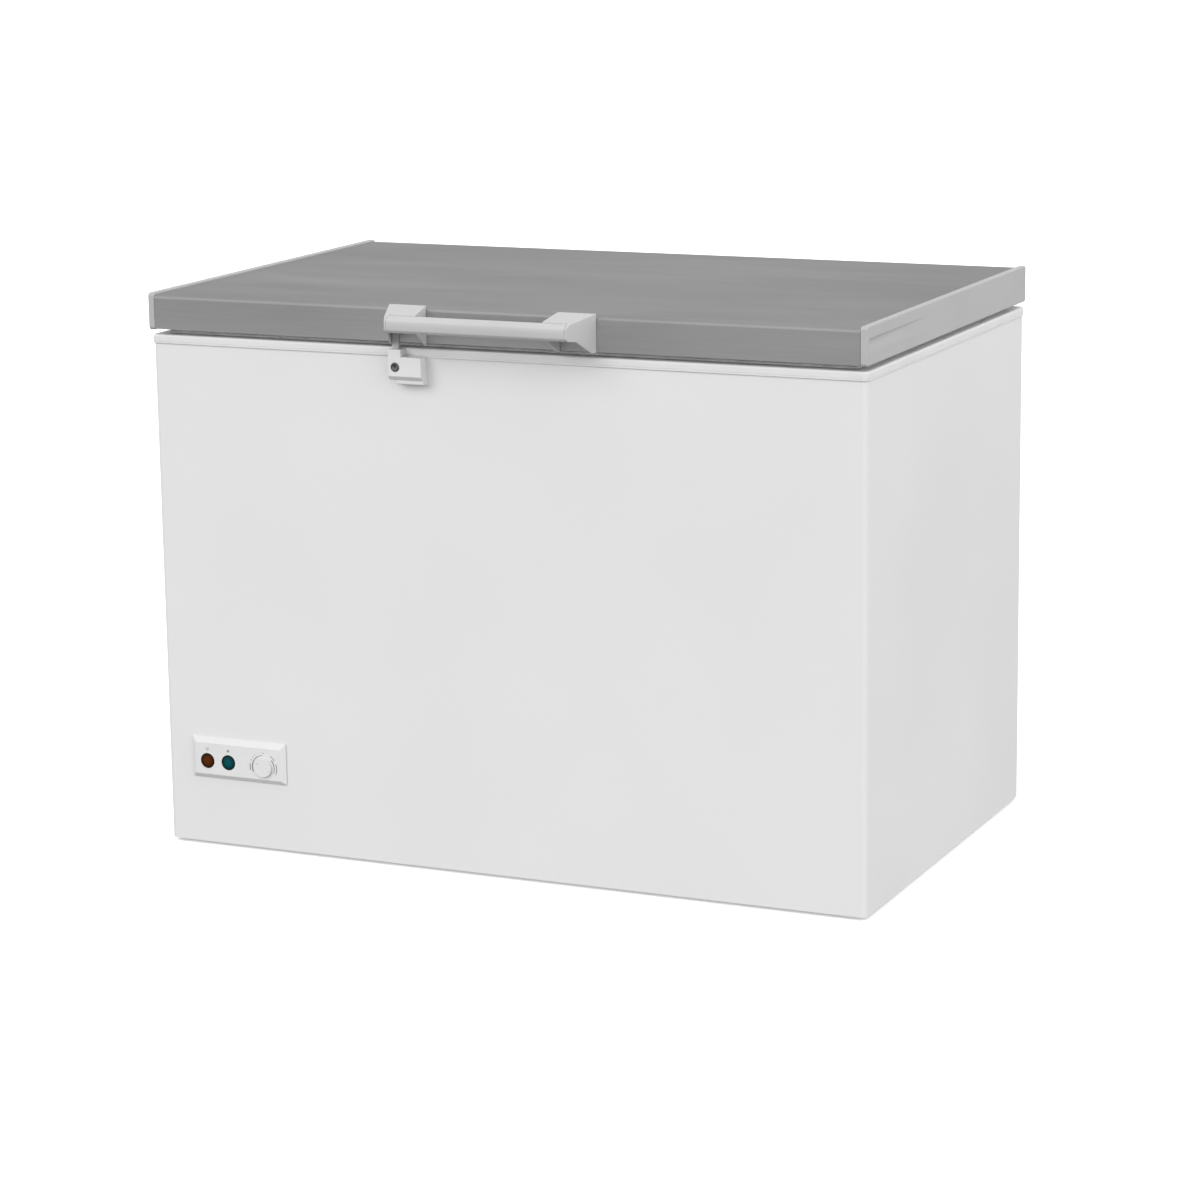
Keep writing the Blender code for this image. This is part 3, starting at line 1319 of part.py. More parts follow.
# ---------------------------------------------------------------- back fittings
def make_vent_grille():
    """Flanged plastic grille with level slots, over the bay's opening."""
    left, right, bottom, top = grille_box()
    flange = GRILLE_FLANGE
    outer = BACK - SHEET
    low = (left - flange, outer, bottom - flange)
    high = (right + flange, outer + GRILLE_PLATE, top + flange)
    grille = box("vent_grille", low, high, WHITE_PLASTIC, 0.0006, 1)
    pitch = GRILLE_HEIGHT / GRILLE_SLOTS
    rows = []
    for row in range(GRILLE_SLOTS):
        middle = bottom + pitch * (row + 0.5)
        low = (left + flange, outer - flange, middle - GRILLE_SLOT_HEIGHT / 2)
        rows.append((low, (right - flange, outer + flange, middle + GRILLE_SLOT_HEIGHT / 2)))
    return cut(grille, boxes("cut_grille_slots", rows, WHITE_PLASTIC))


def gland_place():
    """Centre of the cable gland on the back panel."""
    _, right, _, top = grille_box()
    return Vector((right - GLAND_RADIUS, BACK - SHEET, top + GRILLE_FLANGE + 1.5 * GLAND_RADIUS))


def gland_hole():
    """Cutter for the gland's neck."""
    radius = GLAND_RADIUS * 0.7 + SEAT_GAP
    profile = [(radius, -GLAND_OUT), (radius, GLAND_OUT)]
    return turned("cut_gland", profile, gland_place(), "y", WHITE_PLASTIC, steps=16)


def make_cable_gland():
    """Plain cable inlet in the back panel; no cord is fitted."""
    neck = GLAND_RADIUS * 0.7
    profile = [
        (GLAND_BORE, -0.008),
        (neck, -0.008),
        (neck, 0.0002),
        (GLAND_RADIUS, 0.0002),
        (GLAND_RADIUS, 0.004),
        (neck, GLAND_OUT),
        (GLAND_BORE, GLAND_OUT),
    ]
    return turned("cable_gland", profile, gland_place(), "y", BLACK_PLASTIC, steps=16, hollow=True)


# ---------------------------------------------------------------- hinges
def hinge_middle(side):
    """x of a hinge's middle."""
    return side * HINGE_SPACING / 2


def make_hinge_base(name, side):
    """Plate screwed to the back with two ears that hold the pin."""
    middle = hinge_middle(side)
    half = HINGE_WIDTH / 2
    seat = BACK + SEAT_GAP
    foot = HINGE_Z - HINGE_PLATE_HEIGHT
    shelf = COLLAR_BOTTOM - 4 * SEAT_GAP
    ear = HINGE_EAR
    plate = box(name, (middle - half, seat, foot), (middle + half, seat + HINGE_SHEET, shelf), ZINC)
    around = [math.radians(a) for a in range(-60, 181, 30)]
    arc = [Vector((HINGE_Y + ear * math.cos(a), HINGE_Z + ear * math.sin(a))) for a in around]
    outline = arc + [Vector((HINGE_Y - ear, shelf)), Vector((seat + 0.001, shelf))]
    outline += [Vector((seat + 0.001, shelf - 0.050)), Vector((seat + HINGE_SHEET + 0.004, shelf - 0.050))]
    for tag, low in (("a", middle - half), ("b", middle + half - HINGE_SHEET)):
        join(plate, prism(f"join_{name}_{tag}", outline, "x", low, low + HINGE_SHEET, ZINC))
    reach = HINGE_WIDTH
    bore = [(PIN_RADIUS + PIN_CLEARANCE, -reach), (PIN_RADIUS + PIN_CLEARANCE, reach)]
    return cut(plate, turned(f"cut_{name}", bore, (middle, HINGE_Y, HINGE_Z), "x", ZINC, steps=20))


def make_hinge_pin(name, side):
    """Pin through both ears, with a head at one end."""
    half = HINGE_WIDTH / 2
    head = 1.6 * PIN_RADIUS
    profile = [
        (head, -half - 0.003),
        (head, -half - SEAT_GAP),
        (PIN_RADIUS, -half - SEAT_GAP),
        (PIN_RADIUS, half + 0.002),
    ]
    return turned(name, profile, (hinge_middle(side), HINGE_Y, HINGE_Z), "x", CHROME, steps=20)


def knuckle_ends(side):
    """x of both ends of the arm's knuckle."""
    middle = hinge_middle(side)
    low = middle - HINGE_WIDTH / 2 + HINGE_SHEET + SIDE_PLAY
    return low, low + KNUCKLE_WIDTH


def make_hinge_arm(name, side):
    """Leaf on the lid's back with the knuckle that turns on the pin."""
    low, high = knuckle_ends(side)
    seat = LID_BACK + SEAT_GAP
    sheet = HINGE_SHEET
    foot = LID_BOTTOM + 0.002
    top = foot + ARM_HEIGHT
    leaf = [
        (seat, top, 0),
        (seat, foot, 0),
        (HINGE_Y, HINGE_Z + 0.5 * PIN_RADIUS, 0),
        (HINGE_Y + 0.5 * KNUCKLE_RADIUS, HINGE_Z + 0.8 * KNUCKLE_RADIUS, 0),
        (seat + sheet, foot + 1.2 * sheet, 0),
        (seat + sheet, top, 0),
    ]
    arm = prism(name, rounded(leaf), "x", low, high, ZINC)
    half = (high - low) / 2
    sleeve = [(KNUCKLE_RADIUS, -half), (KNUCKLE_RADIUS, half)]
    centre = ((low + high) / 2, HINGE_Y, HINGE_Z)
    join(arm, turned(f"join_{name}", sleeve, centre, "x", ZINC, steps=24))
    bore = [(PIN_RADIUS + PIN_CLEARANCE, -KNUCKLE_WIDTH), (PIN_RADIUS + PIN_CLEARANCE, KNUCKLE_WIDTH)]
    return cut(arm, turned(f"cut_{name}", bore, centre, "x", ZINC, steps=20))


def make_hinge_spring(name, side):
    """Coil on the pin beside the knuckle, its tail against the base plate."""
    start = knuckle_ends(side)[1] + SPRING_WIRE
    end = hinge_middle(side) + HINGE_WIDTH / 2 - HINGE_SHEET - SPRING_WIRE
    radius = PIN_RADIUS + SPRING_WIRE
    per_turn = 12
    count = SPRING_TURNS * per_turn
    route = []
    for index in range(count + 1):
        angle = math.tau * index / per_turn
        x = start + (end - start) * index / count
        route.append(Vector((x, HINGE_Y + radius * math.cos(angle), HINGE_Z + radius * math.sin(angle))))
    route.append(Vector((end, HINGE_Y + radius, HINGE_Z - 3 * radius)))
    return tube(name, route, SPRING_WIRE, CHROME)


def make_hinge_screws(name, side):
    """Two screw heads on the hinge's plate, one above the other."""
    seat = BACK + HINGE_SHEET + 2 * SEAT_GAP
    head = SCREW_HEAD
    rise = SCREW_RISE
    profile = [(head, 0), (head, 0.35 * rise), (0.75 * head, 0.8 * rise), (0.4 * head, rise)]
    foot = HINGE_Z - HINGE_PLATE_HEIGHT
    for tag, z in (("lower", foot + 2 * head), ("upper", foot + 5.5 * head)):
        turned(f"{name}_{tag}", profile, (hinge_middle(side), seat, z), "y", ZINC, steps=16)


# ---------------------------------------------------------------- tub fittings
def make_basket():
    """Basket hung by its rim on the collar's ledges; a plain tapered tub here."""
    ledge = LEDGE_WIDTH - BASKET_PLAY
    inner = WALL + COLLAR_SKIRT + SEAT_GAP
    low_y = FRONT + inner + BASKET_PLAY
    high_y = BACK - inner - BASKET_PLAY
    left = -TUB_HALF + BASKET_START
    half = BASKET_WIDTH / 2
    bottom = LEDGE_TOP - BASKET_HEIGHT
    rim_low = LEDGE_TOP + SEAT_GAP
    rim_high = rim_low + BASKET_RIM
    body = ledge + 2 * BASKET_PLAY
    wall = BASKET_WALL
    taper = BASKET_TAPER
    profile = [
        (body + taper, bottom, 0.012),
        (body, rim_low, 0.012),
        (0, rim_low, 0.003),
        (0, rim_high, 0.003),
        (body + wall, rim_high, 0.008),
        (body + wall + taper, bottom + wall, 0.008),
    ]
    basket = swept_dish("wire_basket", half, low_y, high_y, profile, WHITE_PAINT, steps=2)
    basket.data.transform(Matrix.Translation((left + half, 0, 0)))
    return basket


def make_drain():
    """Drain tube through the floor and the plug that closes it."""
    top = TUB_FLOOR + LINER_SHEET
    low = PAN_LIFT - 0.004
    flange = DRAIN_FLANGE
    plate = DRAIN_FLANGE_PLATE
    profile = [
        (DRAIN_BORE, low),
        (DRAIN_RADIUS, low),
        (DRAIN_RADIUS, top + SEAT_GAP),
        (flange, top + SEAT_GAP),
        (flange, top + plate),
        (DRAIN_BORE, top + plate),
    ]
    turned("drain_tube", profile, (DRAIN_X, 0, 0), "z", WHITE_PLASTIC, steps=20, hollow=True)
    stem = DRAIN_BORE - PIN_CLEARANCE
    seat = top + plate + SEAT_GAP
    plug = [
        (stem * 0.9, seat - 0.016),
        (stem, seat - 0.013),
        (stem, seat),
        (0.8 * flange, seat),
        (0.8 * flange, seat + 0.003),
        (0.25 * flange, seat + 0.004),
        (0.25 * flange, seat + 0.012),
        (0.35 * flange, seat + 0.014),
    ]
    return turned("drain_plug", plug, (DRAIN_X, 0, 0), "z", RUBBER, steps=20)


# ---------------------------------------------------------------- assembly
PIVOTS = {
    "lid_pivot": (0, HINGE_Y, HINGE_Z),
    "dial_pivot": (DIAL_X, PANEL_FACE_Y, DIAL_Z),
    "lock_pivot": (BARREL_X, LOCK_FACE, BARREL_Z),
    "basket_slide": (-TUB_HALF + BASKET_START + BASKET_WIDTH / 2, 0, LEDGE_TOP),
    "drain_slide": (DRAIN_X, 0, TUB_FLOOR),
}
CARRIED = {
    "lid_pivot": (
        "lid_skin",
        "lid_foam",
        "lid_liner",
        "lid_gasket",
        "end_cap_left",
        "end_cap_right",
        "handle_bar",
        "handle_bracket_left",
        "handle_bracket_right",
        "lock_tongue",
        "hinge_arm_left",
        "hinge_arm_right",
    ),
    "dial_pivot": ("thermostat_dial",),
    "lock_pivot": ("lock_barrel", "lock_cam"),
    "basket_slide": ("wire_basket",),
    "drain_slide": ("drain_plug",),
}


def hang_on_pivots():
    """Puts an empty on each joint's axis and parents the moving pieces to it."""
    for pivot, place in PIVOTS.items():
        empty = bpy.data.objects.new(pivot, None)
        empty.location = place
        bpy.context.scene.collection.objects.link(empty)
        for name in CARRIED[pivot]:
            piece = bpy.data.objects[name]
            piece.parent = empty
            piece.matrix_parent_inverse = Matrix.Translation(place).inverted()


def make_cabinet():
    """Shell, foam, tub, collar and feet."""
    make_outer_wrap()
    make_back_panel()
    make_base_pan()
    make_feet()
    make_bay_shroud()
    make_inner_liner()
    make_insulation_foam()
    make_top_collar()


def make_lid():
    """Skin, foam, liner, seal, end caps and handle."""
    make_lid_skin()
    make_lid_liner()
    make_lid_foam()
    make_lid_gasket()
    make_handle_bar()
    make_lock_tongue()
    for tag, side in (("left", -1), ("right", 1)):
        make_end_cap(f"end_cap_{tag}", side)
        make_handle_bracket(f"handle_bracket_{tag}", side)


def make_fittings():
    """Lock, control panel, cooling circuit, back fittings, hinges and tub fittings."""
    make_lock_housing()
    make_lock_barrel()
    make_lock_cam()
    make_control_panel()
    for tag, x, kind in (("amber", AMBER_X, AMBER), ("green", GREEN_X, GREEN)):
        make_lens(f"{tag}_lens", x, kind)
        make_lamp(f"{tag}_lamp", x)
    make_thermostat_body()
    make_thermostat_dial()
    make_compressor()
    make_start_relay()
    make_filter_drier()
    make_evaporator_tube()
    make_condenser_tube()
    make_discharge_pipe()
    make_vent_grille()
    make_cable_gland()
    for tag, side in (("left", -1), ("right", 1)):
        make_hinge_base(f"hinge_base_{tag}", side)
        make_hinge_pin(f"hinge_pin_{tag}", side)
        make_hinge_arm(f"hinge_arm_{tag}", side)
        make_hinge_spring(f"hinge_spring_{tag}", side)
        make_hinge_screws(f"hinge_screw_{tag}", side)
    make_basket()
    make_drain()


def main():
    """Clears the scene and builds the freezer."""
    for old in list(bpy.data.objects):
        bpy.data.objects.remove(old)
    make_cabinet()
    make_lid()
    make_fittings()
    hang_on_pivots()


main()
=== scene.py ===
"""Looks of a chest freezer: its finishes and finely made pieces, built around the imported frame.

Metres, +Z up. X runs along the width and the front faces -Y. Every place comes from the frame's own nodes.
"""

import logging
import math
from collections.abc import Iterable, Sequence
from dataclasses import dataclass
from enum import Enum

import bmesh
import bpy
from bpy.types import Material, Node, NodeSocket, Object
from mathutils import Matrix, Vector


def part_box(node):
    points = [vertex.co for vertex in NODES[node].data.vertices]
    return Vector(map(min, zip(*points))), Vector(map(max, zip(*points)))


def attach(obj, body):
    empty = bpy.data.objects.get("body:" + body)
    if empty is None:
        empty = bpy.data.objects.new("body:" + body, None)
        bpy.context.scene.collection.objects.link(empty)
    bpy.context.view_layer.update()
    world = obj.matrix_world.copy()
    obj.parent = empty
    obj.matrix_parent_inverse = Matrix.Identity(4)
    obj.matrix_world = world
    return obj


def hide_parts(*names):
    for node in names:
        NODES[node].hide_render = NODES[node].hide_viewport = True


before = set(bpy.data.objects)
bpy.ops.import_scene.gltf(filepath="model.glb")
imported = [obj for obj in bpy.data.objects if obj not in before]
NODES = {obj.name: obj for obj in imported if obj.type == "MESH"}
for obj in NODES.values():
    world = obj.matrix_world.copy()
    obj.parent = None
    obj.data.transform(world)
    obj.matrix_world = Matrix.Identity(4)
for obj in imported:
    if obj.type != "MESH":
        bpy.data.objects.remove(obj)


MM = 0.001
SMALLEST_CORNER = 0.05 * MM
WELD = 0.001 * MM
log = logging.getLogger("chest freezer")


def clear_startup_objects() -> None:
    """Removes whatever an empty scene starts with."""
    for spare in ("Cube", "Light", "Camera"):
        found = bpy.data.objects.get(spare)
        if found:
            bpy.data.objects.remove(found)


clear_startup_objects()
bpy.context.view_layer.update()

Colour = tuple[float, float, float]
Profile = Sequence[tuple[float, float]]


class Body(Enum):
    """The frame's bodies, by what they carry."""

    CABINET = "cabinet"
    LID = "lid"
    DIAL = "thermostat_dial"
    LOCK = "lock"
    BASKET = "basket"
    PLUG = "drain_plug"


class Slot(Enum):
    """The record's material slots."""

    WHITE_PAINT = "white_paint"
    WHITE_PLASTIC = "white_plastic"
    GREY_PLASTIC = "grey_plastic"
    GREY_SEAL = "grey_seal"
    STEEL = "brushed_steel"
    CHROME = "chrome"
    ZINC = "zinc_steel"
    LINER = "liner_sheet"
    ENAMEL = "black_enamel"
    BLACK_PLASTIC = "black_plastic"
    RUBBER = "rubber"
    COPPER = "copper"
    BASKET = "basket_wire"
    AMBER = "amber_glass"
    GREEN = "green_glass"


class Facing(Enum):
    """Which way the far end of a turned piece points."""

    UP = "up"
    FRONT = "front"
    BACK = "back"
    RIGHT = "right"

    @property
    def turn(self) -> Matrix:
        """The rotation from +Z to this direction."""
        quarter = math.radians(90)
        turns = {
            Facing.UP: Matrix.Identity(4),
            Facing.FRONT: Matrix.Rotation(quarter, 4, "X"),
            Facing.BACK: Matrix.Rotation(-quarter, 4, "X"),
            Facing.RIGHT: Matrix.Rotation(quarter, 4, "Y"),
        }
        return turns[self]


class Along(Enum):
    """The axis that an outline is pushed along."""

    X = "x"
    Y = "y"
    Z = "z"

    def point(self, u: float, v: float, depth: float) -> Vector:
        """An outline's point in space.

        Args:
            u: The outline's first coordinate.
            v: The outline's second coordinate.
            depth: The place along this axis.

        Returns:
            The point.
        """
        points = {Along.X: (depth, u, v), Along.Y: (u, depth, v), Along.Z: (u, v, depth)}
        return Vector(points[self])


@dataclass(frozen=True)
class Extent:
    """The space that a node takes up at rest."""

    low: Vector
    high: Vector

    @classmethod
    def of(cls, node: str) -> "Extent":
        """The extent of one node of the frame."""
        return cls(*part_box(node))

    @property
    def centre(self) -> Vector:
        """The middle of the extent."""
        return (self.low + self.high) / 2

    @property
    def size(self) -> Vector:
        """The extent's three sides."""
        return self.high - self.low


# ---------------------------------------------------------------- shapes
def made(name: str, bm: bmesh.types.BMesh) -> Object:
    """Turns a bmesh into an object whose faces point out.

    Args:
        name: The piece's name.
        bm: The shape, which is freed.

    Returns:
        The new object.
    """
    bmesh.ops.recalc_face_normals(bm, faces=bm.faces)
    mesh = bpy.data.meshes.new(name)
    bm.to_mesh(mesh)
    bm.free()
    piece = bpy.data.objects.new(name, mesh)
    bpy.context.scene.collection.objects.link(piece)
    return piece


def shaded(piece: Object, angle: float = 35.0) -> Object:
    """Shades a piece smooth, except over edges sharper than an angle.

    Args:
        piece: The piece.
        angle: The angle in degrees.

    Returns:
        The same piece.
    """
    piece.data.shade_smooth()
    piece.data.set_sharp_from_angle(angle=math.radians(angle))
    even = piece.modifiers.new("even shading", "WEIGHTED_NORMAL")
    even.keep_sharp = True
    even.weight = 100
    return piece


def softened(piece: Object, width: float, segments: int = 3, angle: float = 28.0) -> Object:
    """Rounds a piece's sharp edges.

    Args:
        piece: The piece.
        width: The rounding's width.
        segments: Steps across the rounding.
        angle: Edges sharper than this many degrees are rounded.

    Returns:
        The same piece.
    """
    piece.data.shade_smooth()
    rounding = piece.modifiers.new("rounded edges", "BEVEL")
    rounding.width = width
    rounding.segments = segments
    rounding.limit_method = "ANGLE"
    rounding.angle_limit = math.radians(angle)
    rounding.harden_normals = True
    even = piece.modifiers.new("even shading", "WEIGHTED_NORMAL")
    even.weight = 100
    return piece


def refined(node: str, name: str) -> Object:
    """A copy of a node's shape with its flat triangles merged, ready to be softened.

    Args:
        node: The node to copy.
        name: The new piece's name.

    Returns:
        The copy.
    """
    bm = bmesh.new()
    bm.from_mesh(NODES[node].data)
    bmesh.ops.remove_doubles(bm, verts=bm.verts, dist=WELD)
    bmesh.ops.dissolve_limit(bm, angle_limit=math.radians(0.4), verts=bm.verts, edges=bm.edges)
    return made(name, bm)


def bridge(bm: bmesh.types.BMesh, rings: Sequence[Sequence[bmesh.types.BMVert]]) -> None:
    """Joins each pair of neighbouring rings with quads.

    Args:
        bm: The shape that holds the rings.
        rings: Rings of equal count.
    """
    for lower, upper in zip(rings, rings[1:]):
        count = len(lower)
        for index in range(count):
            after = (index + 1) % count
            bm.faces.new((lower[index], lower[after], upper[after], upper[index]))


def rounded(corners: Iterable[tuple[float, float, float]], steps: int = 6) -> list[Vector]:
    """A closed outline whose corners become arcs.

    Args:
        corners: The corners as u, v and radius.
        steps: Steps in each arc.

    Returns:
        The outline's points.
    """
    corners = list(corners)
    points = []
    for index, (u, v, radius) in enumerate(corners):
        corner = Vector((u, v))
        if radius <= 0:
            points.append(corner)
            continue
        before = (Vector(corners[index - 1][:2]) - corner).normalized()
        after = (Vector(corners[(index + 1) % len(corners)][:2]) - corner).normalized()
        half = before.angle(after) / 2
        centre = corner + (before + after).normalized() * (radius / math.sin(half))
        start = corner + before * (radius / math.tan(half)) - centre
        sweep = start.angle_signed(corner + after * (radius / math.tan(half)) - centre)
        points += [centre + Matrix.Rotation(-sweep * step / steps, 2) @ start for step in range(steps + 1)]
    return points


def rectangle(low_u: float, high_u: float, low_v: float, high_v: float, radius: float) -> list[tuple]:
    """A rectangle's corners, for rounded().

    Args:
        low_u: Left side.
        high_u: Right side.
        low_v: Lower side.
        high_v: Upper side.
        radius: The corners' radius.

    Returns:
        Four corners.
    """
    corners = [(low_u, low_v), (high_u, low_v), (high_u, high_v), (low_u, high_v)]
    return [(u, v, radius) for u, v in corners]


def prism(name: str, outline: Sequence[Vector], axis: Along, low: float, high: float) -> Object:
    """An outline pushed along an axis.

    Args:
        name: The piece's name.
        outline: The outline's points.
        axis: The axis to push it along.
        low: Where it starts.
        high: Where it ends.

    Returns:
        The solid.
    """
    bm = bmesh.new()
    rings = [[bm.verts.new(axis.point(u, v, depth)) for u, v in outline] for depth in (low, high)]
    bridge(bm, rings)
    bm.faces.new(rings[0])
    bm.faces.new(rings[1])
    return made(name, bm)


def turned(
    name: str, profile: Profile, centre: Sequence[float], facing: Facing, steps: int = 48
) -> Object:
    """A profile of radius and height turned about an axis, closed at both ends.

    Args:
        name: The piece's name.
        profile: Radius and height of each point; a radius of 0 ends in a point.
        centre: Where height 0 lies.
        facing: Which way the height grows.
        steps: Facets round the piece.

    Returns:
        The solid.
    """
    bm = bmesh.new()
    rings = []
    for radius, height in profile:
        turns = [math.tau * index / steps for index in range(steps)]
        rings.append([bm.verts.new((radius * math.cos(a), radius * math.sin(a), height)) for a in turns])
    bridge(bm, rings)
    bm.faces.new(rings[0])
    bm.faces.new(rings[-1])
    bmesh.ops.remove_doubles(bm, verts=bm.verts, dist=WELD)
    bmesh.ops.transform(bm, matrix=Matrix.Translation(Vector(centre)) @ facing.turn, verts=bm.verts)
    return made(name, bm)


def turned_ring(
    name: str, profile: Profile, centre: Sequence[float], facing: Facing, steps: int = 48
) -> Object:
    """A closed profile of radius and height turned into a ring.

    Args:
        name: The piece's name.
        profile: Radius and height of each point.
        centre: Where height 0 lies.
        facing: Which way the height grows.
        steps: Facets round the piece.

    Returns:
        The ring.
    """
    bm = bmesh.new()
    rings = []
    for radius, height in profile:
        turns = [math.tau * index / steps for index in range(steps)]
        rings.append([bm.verts.new((radius * math.cos(a), radius * math.sin(a), height)) for a in turns])
    bridge(bm, [*rings, rings[0]])
    bmesh.ops.transform(bm, matrix=Matrix.Translation(Vector(centre)) @ facing.turn, verts=bm.verts)
    return made(name, bm)


@dataclass(frozen=True)
class Frame:
    """A level rectangle that profiles are swept round, by its outer sides."""

    low: Vector
    high: Vector

    def ring(self, inset: float, z: float, radius: float, steps: int) -> list[Vector]:
        """One level loop.

        Args:
            inset: Distance in from the sides.
            z: The loop's height.
            radius: The corners' radius.
            steps: Steps in each corner.

        Returns:
            The loop's points.
        """
        low_x, high_x = self.low.x + inset, self.high.x - inset
        low_y, high_y = self.low.y + inset, self.high.y - inset
        sides = rectangle(low_x, high_x, low_y, high_y, max(radius, SMALLEST_CORNER))
        return [Vector((u, v, z)) for u, v in rounded(sides, steps)]

    def swept(self, name: str, profile: Sequence[tuple[float, float, float]], steps: int = 8) -> Object:
        """A closed profile swept all the way round.

        Args:
            name: The piece's name.
            profile: Inset, height and corner radius of each point.
            steps: Steps in each corner.

        Returns:
            The frame-shaped solid.
        """
        bm = bmesh.new()
        rings = [[bm.verts.new(p) for p in self.ring(*point, steps)] for point in profile]
        bridge(bm, [*rings, rings[0]])
        return made(name, bm)

    def dished(self, name: str, profile: Sequence[tuple[float, float, float]], steps: int = 8) -> Object:
        """An open profile swept round, with a flat face at each end of it.

        Args:
            name: The piece's name.
            profile: Inset, height and corner radius of each point.
            steps: Steps in each corner.

        Returns:
            The dish-shaped solid.
        """
        bm = bmesh.new()
        rings = [[bm.verts.new(p) for p in self.ring(*point, steps)] for point in profile]
        bridge(bm, rings)
        bm.faces.new(rings[0])
        bm.faces.new(rings[-1])
        return made(name, bm)


def wires(name: str, routes: Iterable[tuple[Sequence[Vector], bool]], diameter: float) -> Object:
    """Round wires along several routes, as one piece.

    Args:
        name: The piece's name.
        routes: Each route's points, and whether it closes.
        diameter: The wires' thickness.

    Returns:
        The wires as a curve.
    """
    curve = bpy.data.curves.new(name, "CURVE")
    curve.dimensions = "3D"
    curve.bevel_depth = diameter / 2
    curve.bevel_resolution = 3
    curve.use_fill_caps = True
    for points, closed in routes:
        spline = curve.splines.new("POLY")
        spline.points.add(len(points) - 1)
        for target, point in zip(spline.points, points):
            target.co = (*point, 1)
        spline.use_cyclic_u = closed
        spline.use_smooth = True
    piece = bpy.data.objects.new(name, curve)
    bpy.context.scene.collection.objects.link(piece)
    return piece


def bent(corners: Sequence[Sequence[float]], radius: float, steps: int = 5) -> list[Vector]:
    """A route of corners in space, each rounded by an arc.

    Args:
        corners: The corners.
        radius: The bends' radius.
        steps: Steps in each bend.

    Returns:
        The route's points.
    """
    route = [Vector(corners[0])]
    for before, corner, after in zip(corners, corners[1:], corners[2:]):
        middle = Vector(corner)
        back = (Vector(before) - middle).normalized()
        ahead = (Vector(after) - middle).normalized()
        half = back.angle(ahead) / 2
        centre = middle + (back + ahead).normalized() * (radius / math.sin(half))
        start = middle + back * (radius / math.tan(half)) - centre
        swing = start.rotation_difference(middle + ahead * (radius / math.tan(half)) - centre)
        turns = [swing.angle * step / steps for step in range(steps + 1)]
        route += [centre + Matrix.Rotation(turn, 3, swing.axis) @ start for turn in turns]
    route.append(Vector(corners[-1]))
    return route


def combined(piece: Object, tool: Object, operation: str) -> Object:
    """Joins a tool to a piece or cuts it away, and removes the tool.

    Args:
        piece: The piece to change.
        tool: The tool.
        operation: UNION or DIFFERENCE.

    Returns:
        The changed piece.
    """
    change = piece.modifiers.new("combine", "BOOLEAN")
    change.operation = operation
    change.object = tool
    graph = bpy.context.evaluated_depsgraph_get()
    result = bpy.data.meshes.new_from_object(piece.evaluated_get(graph))
    piece.modifiers.clear()
    piece.data = result
    bpy.data.objects.remove(tool)
    return piece


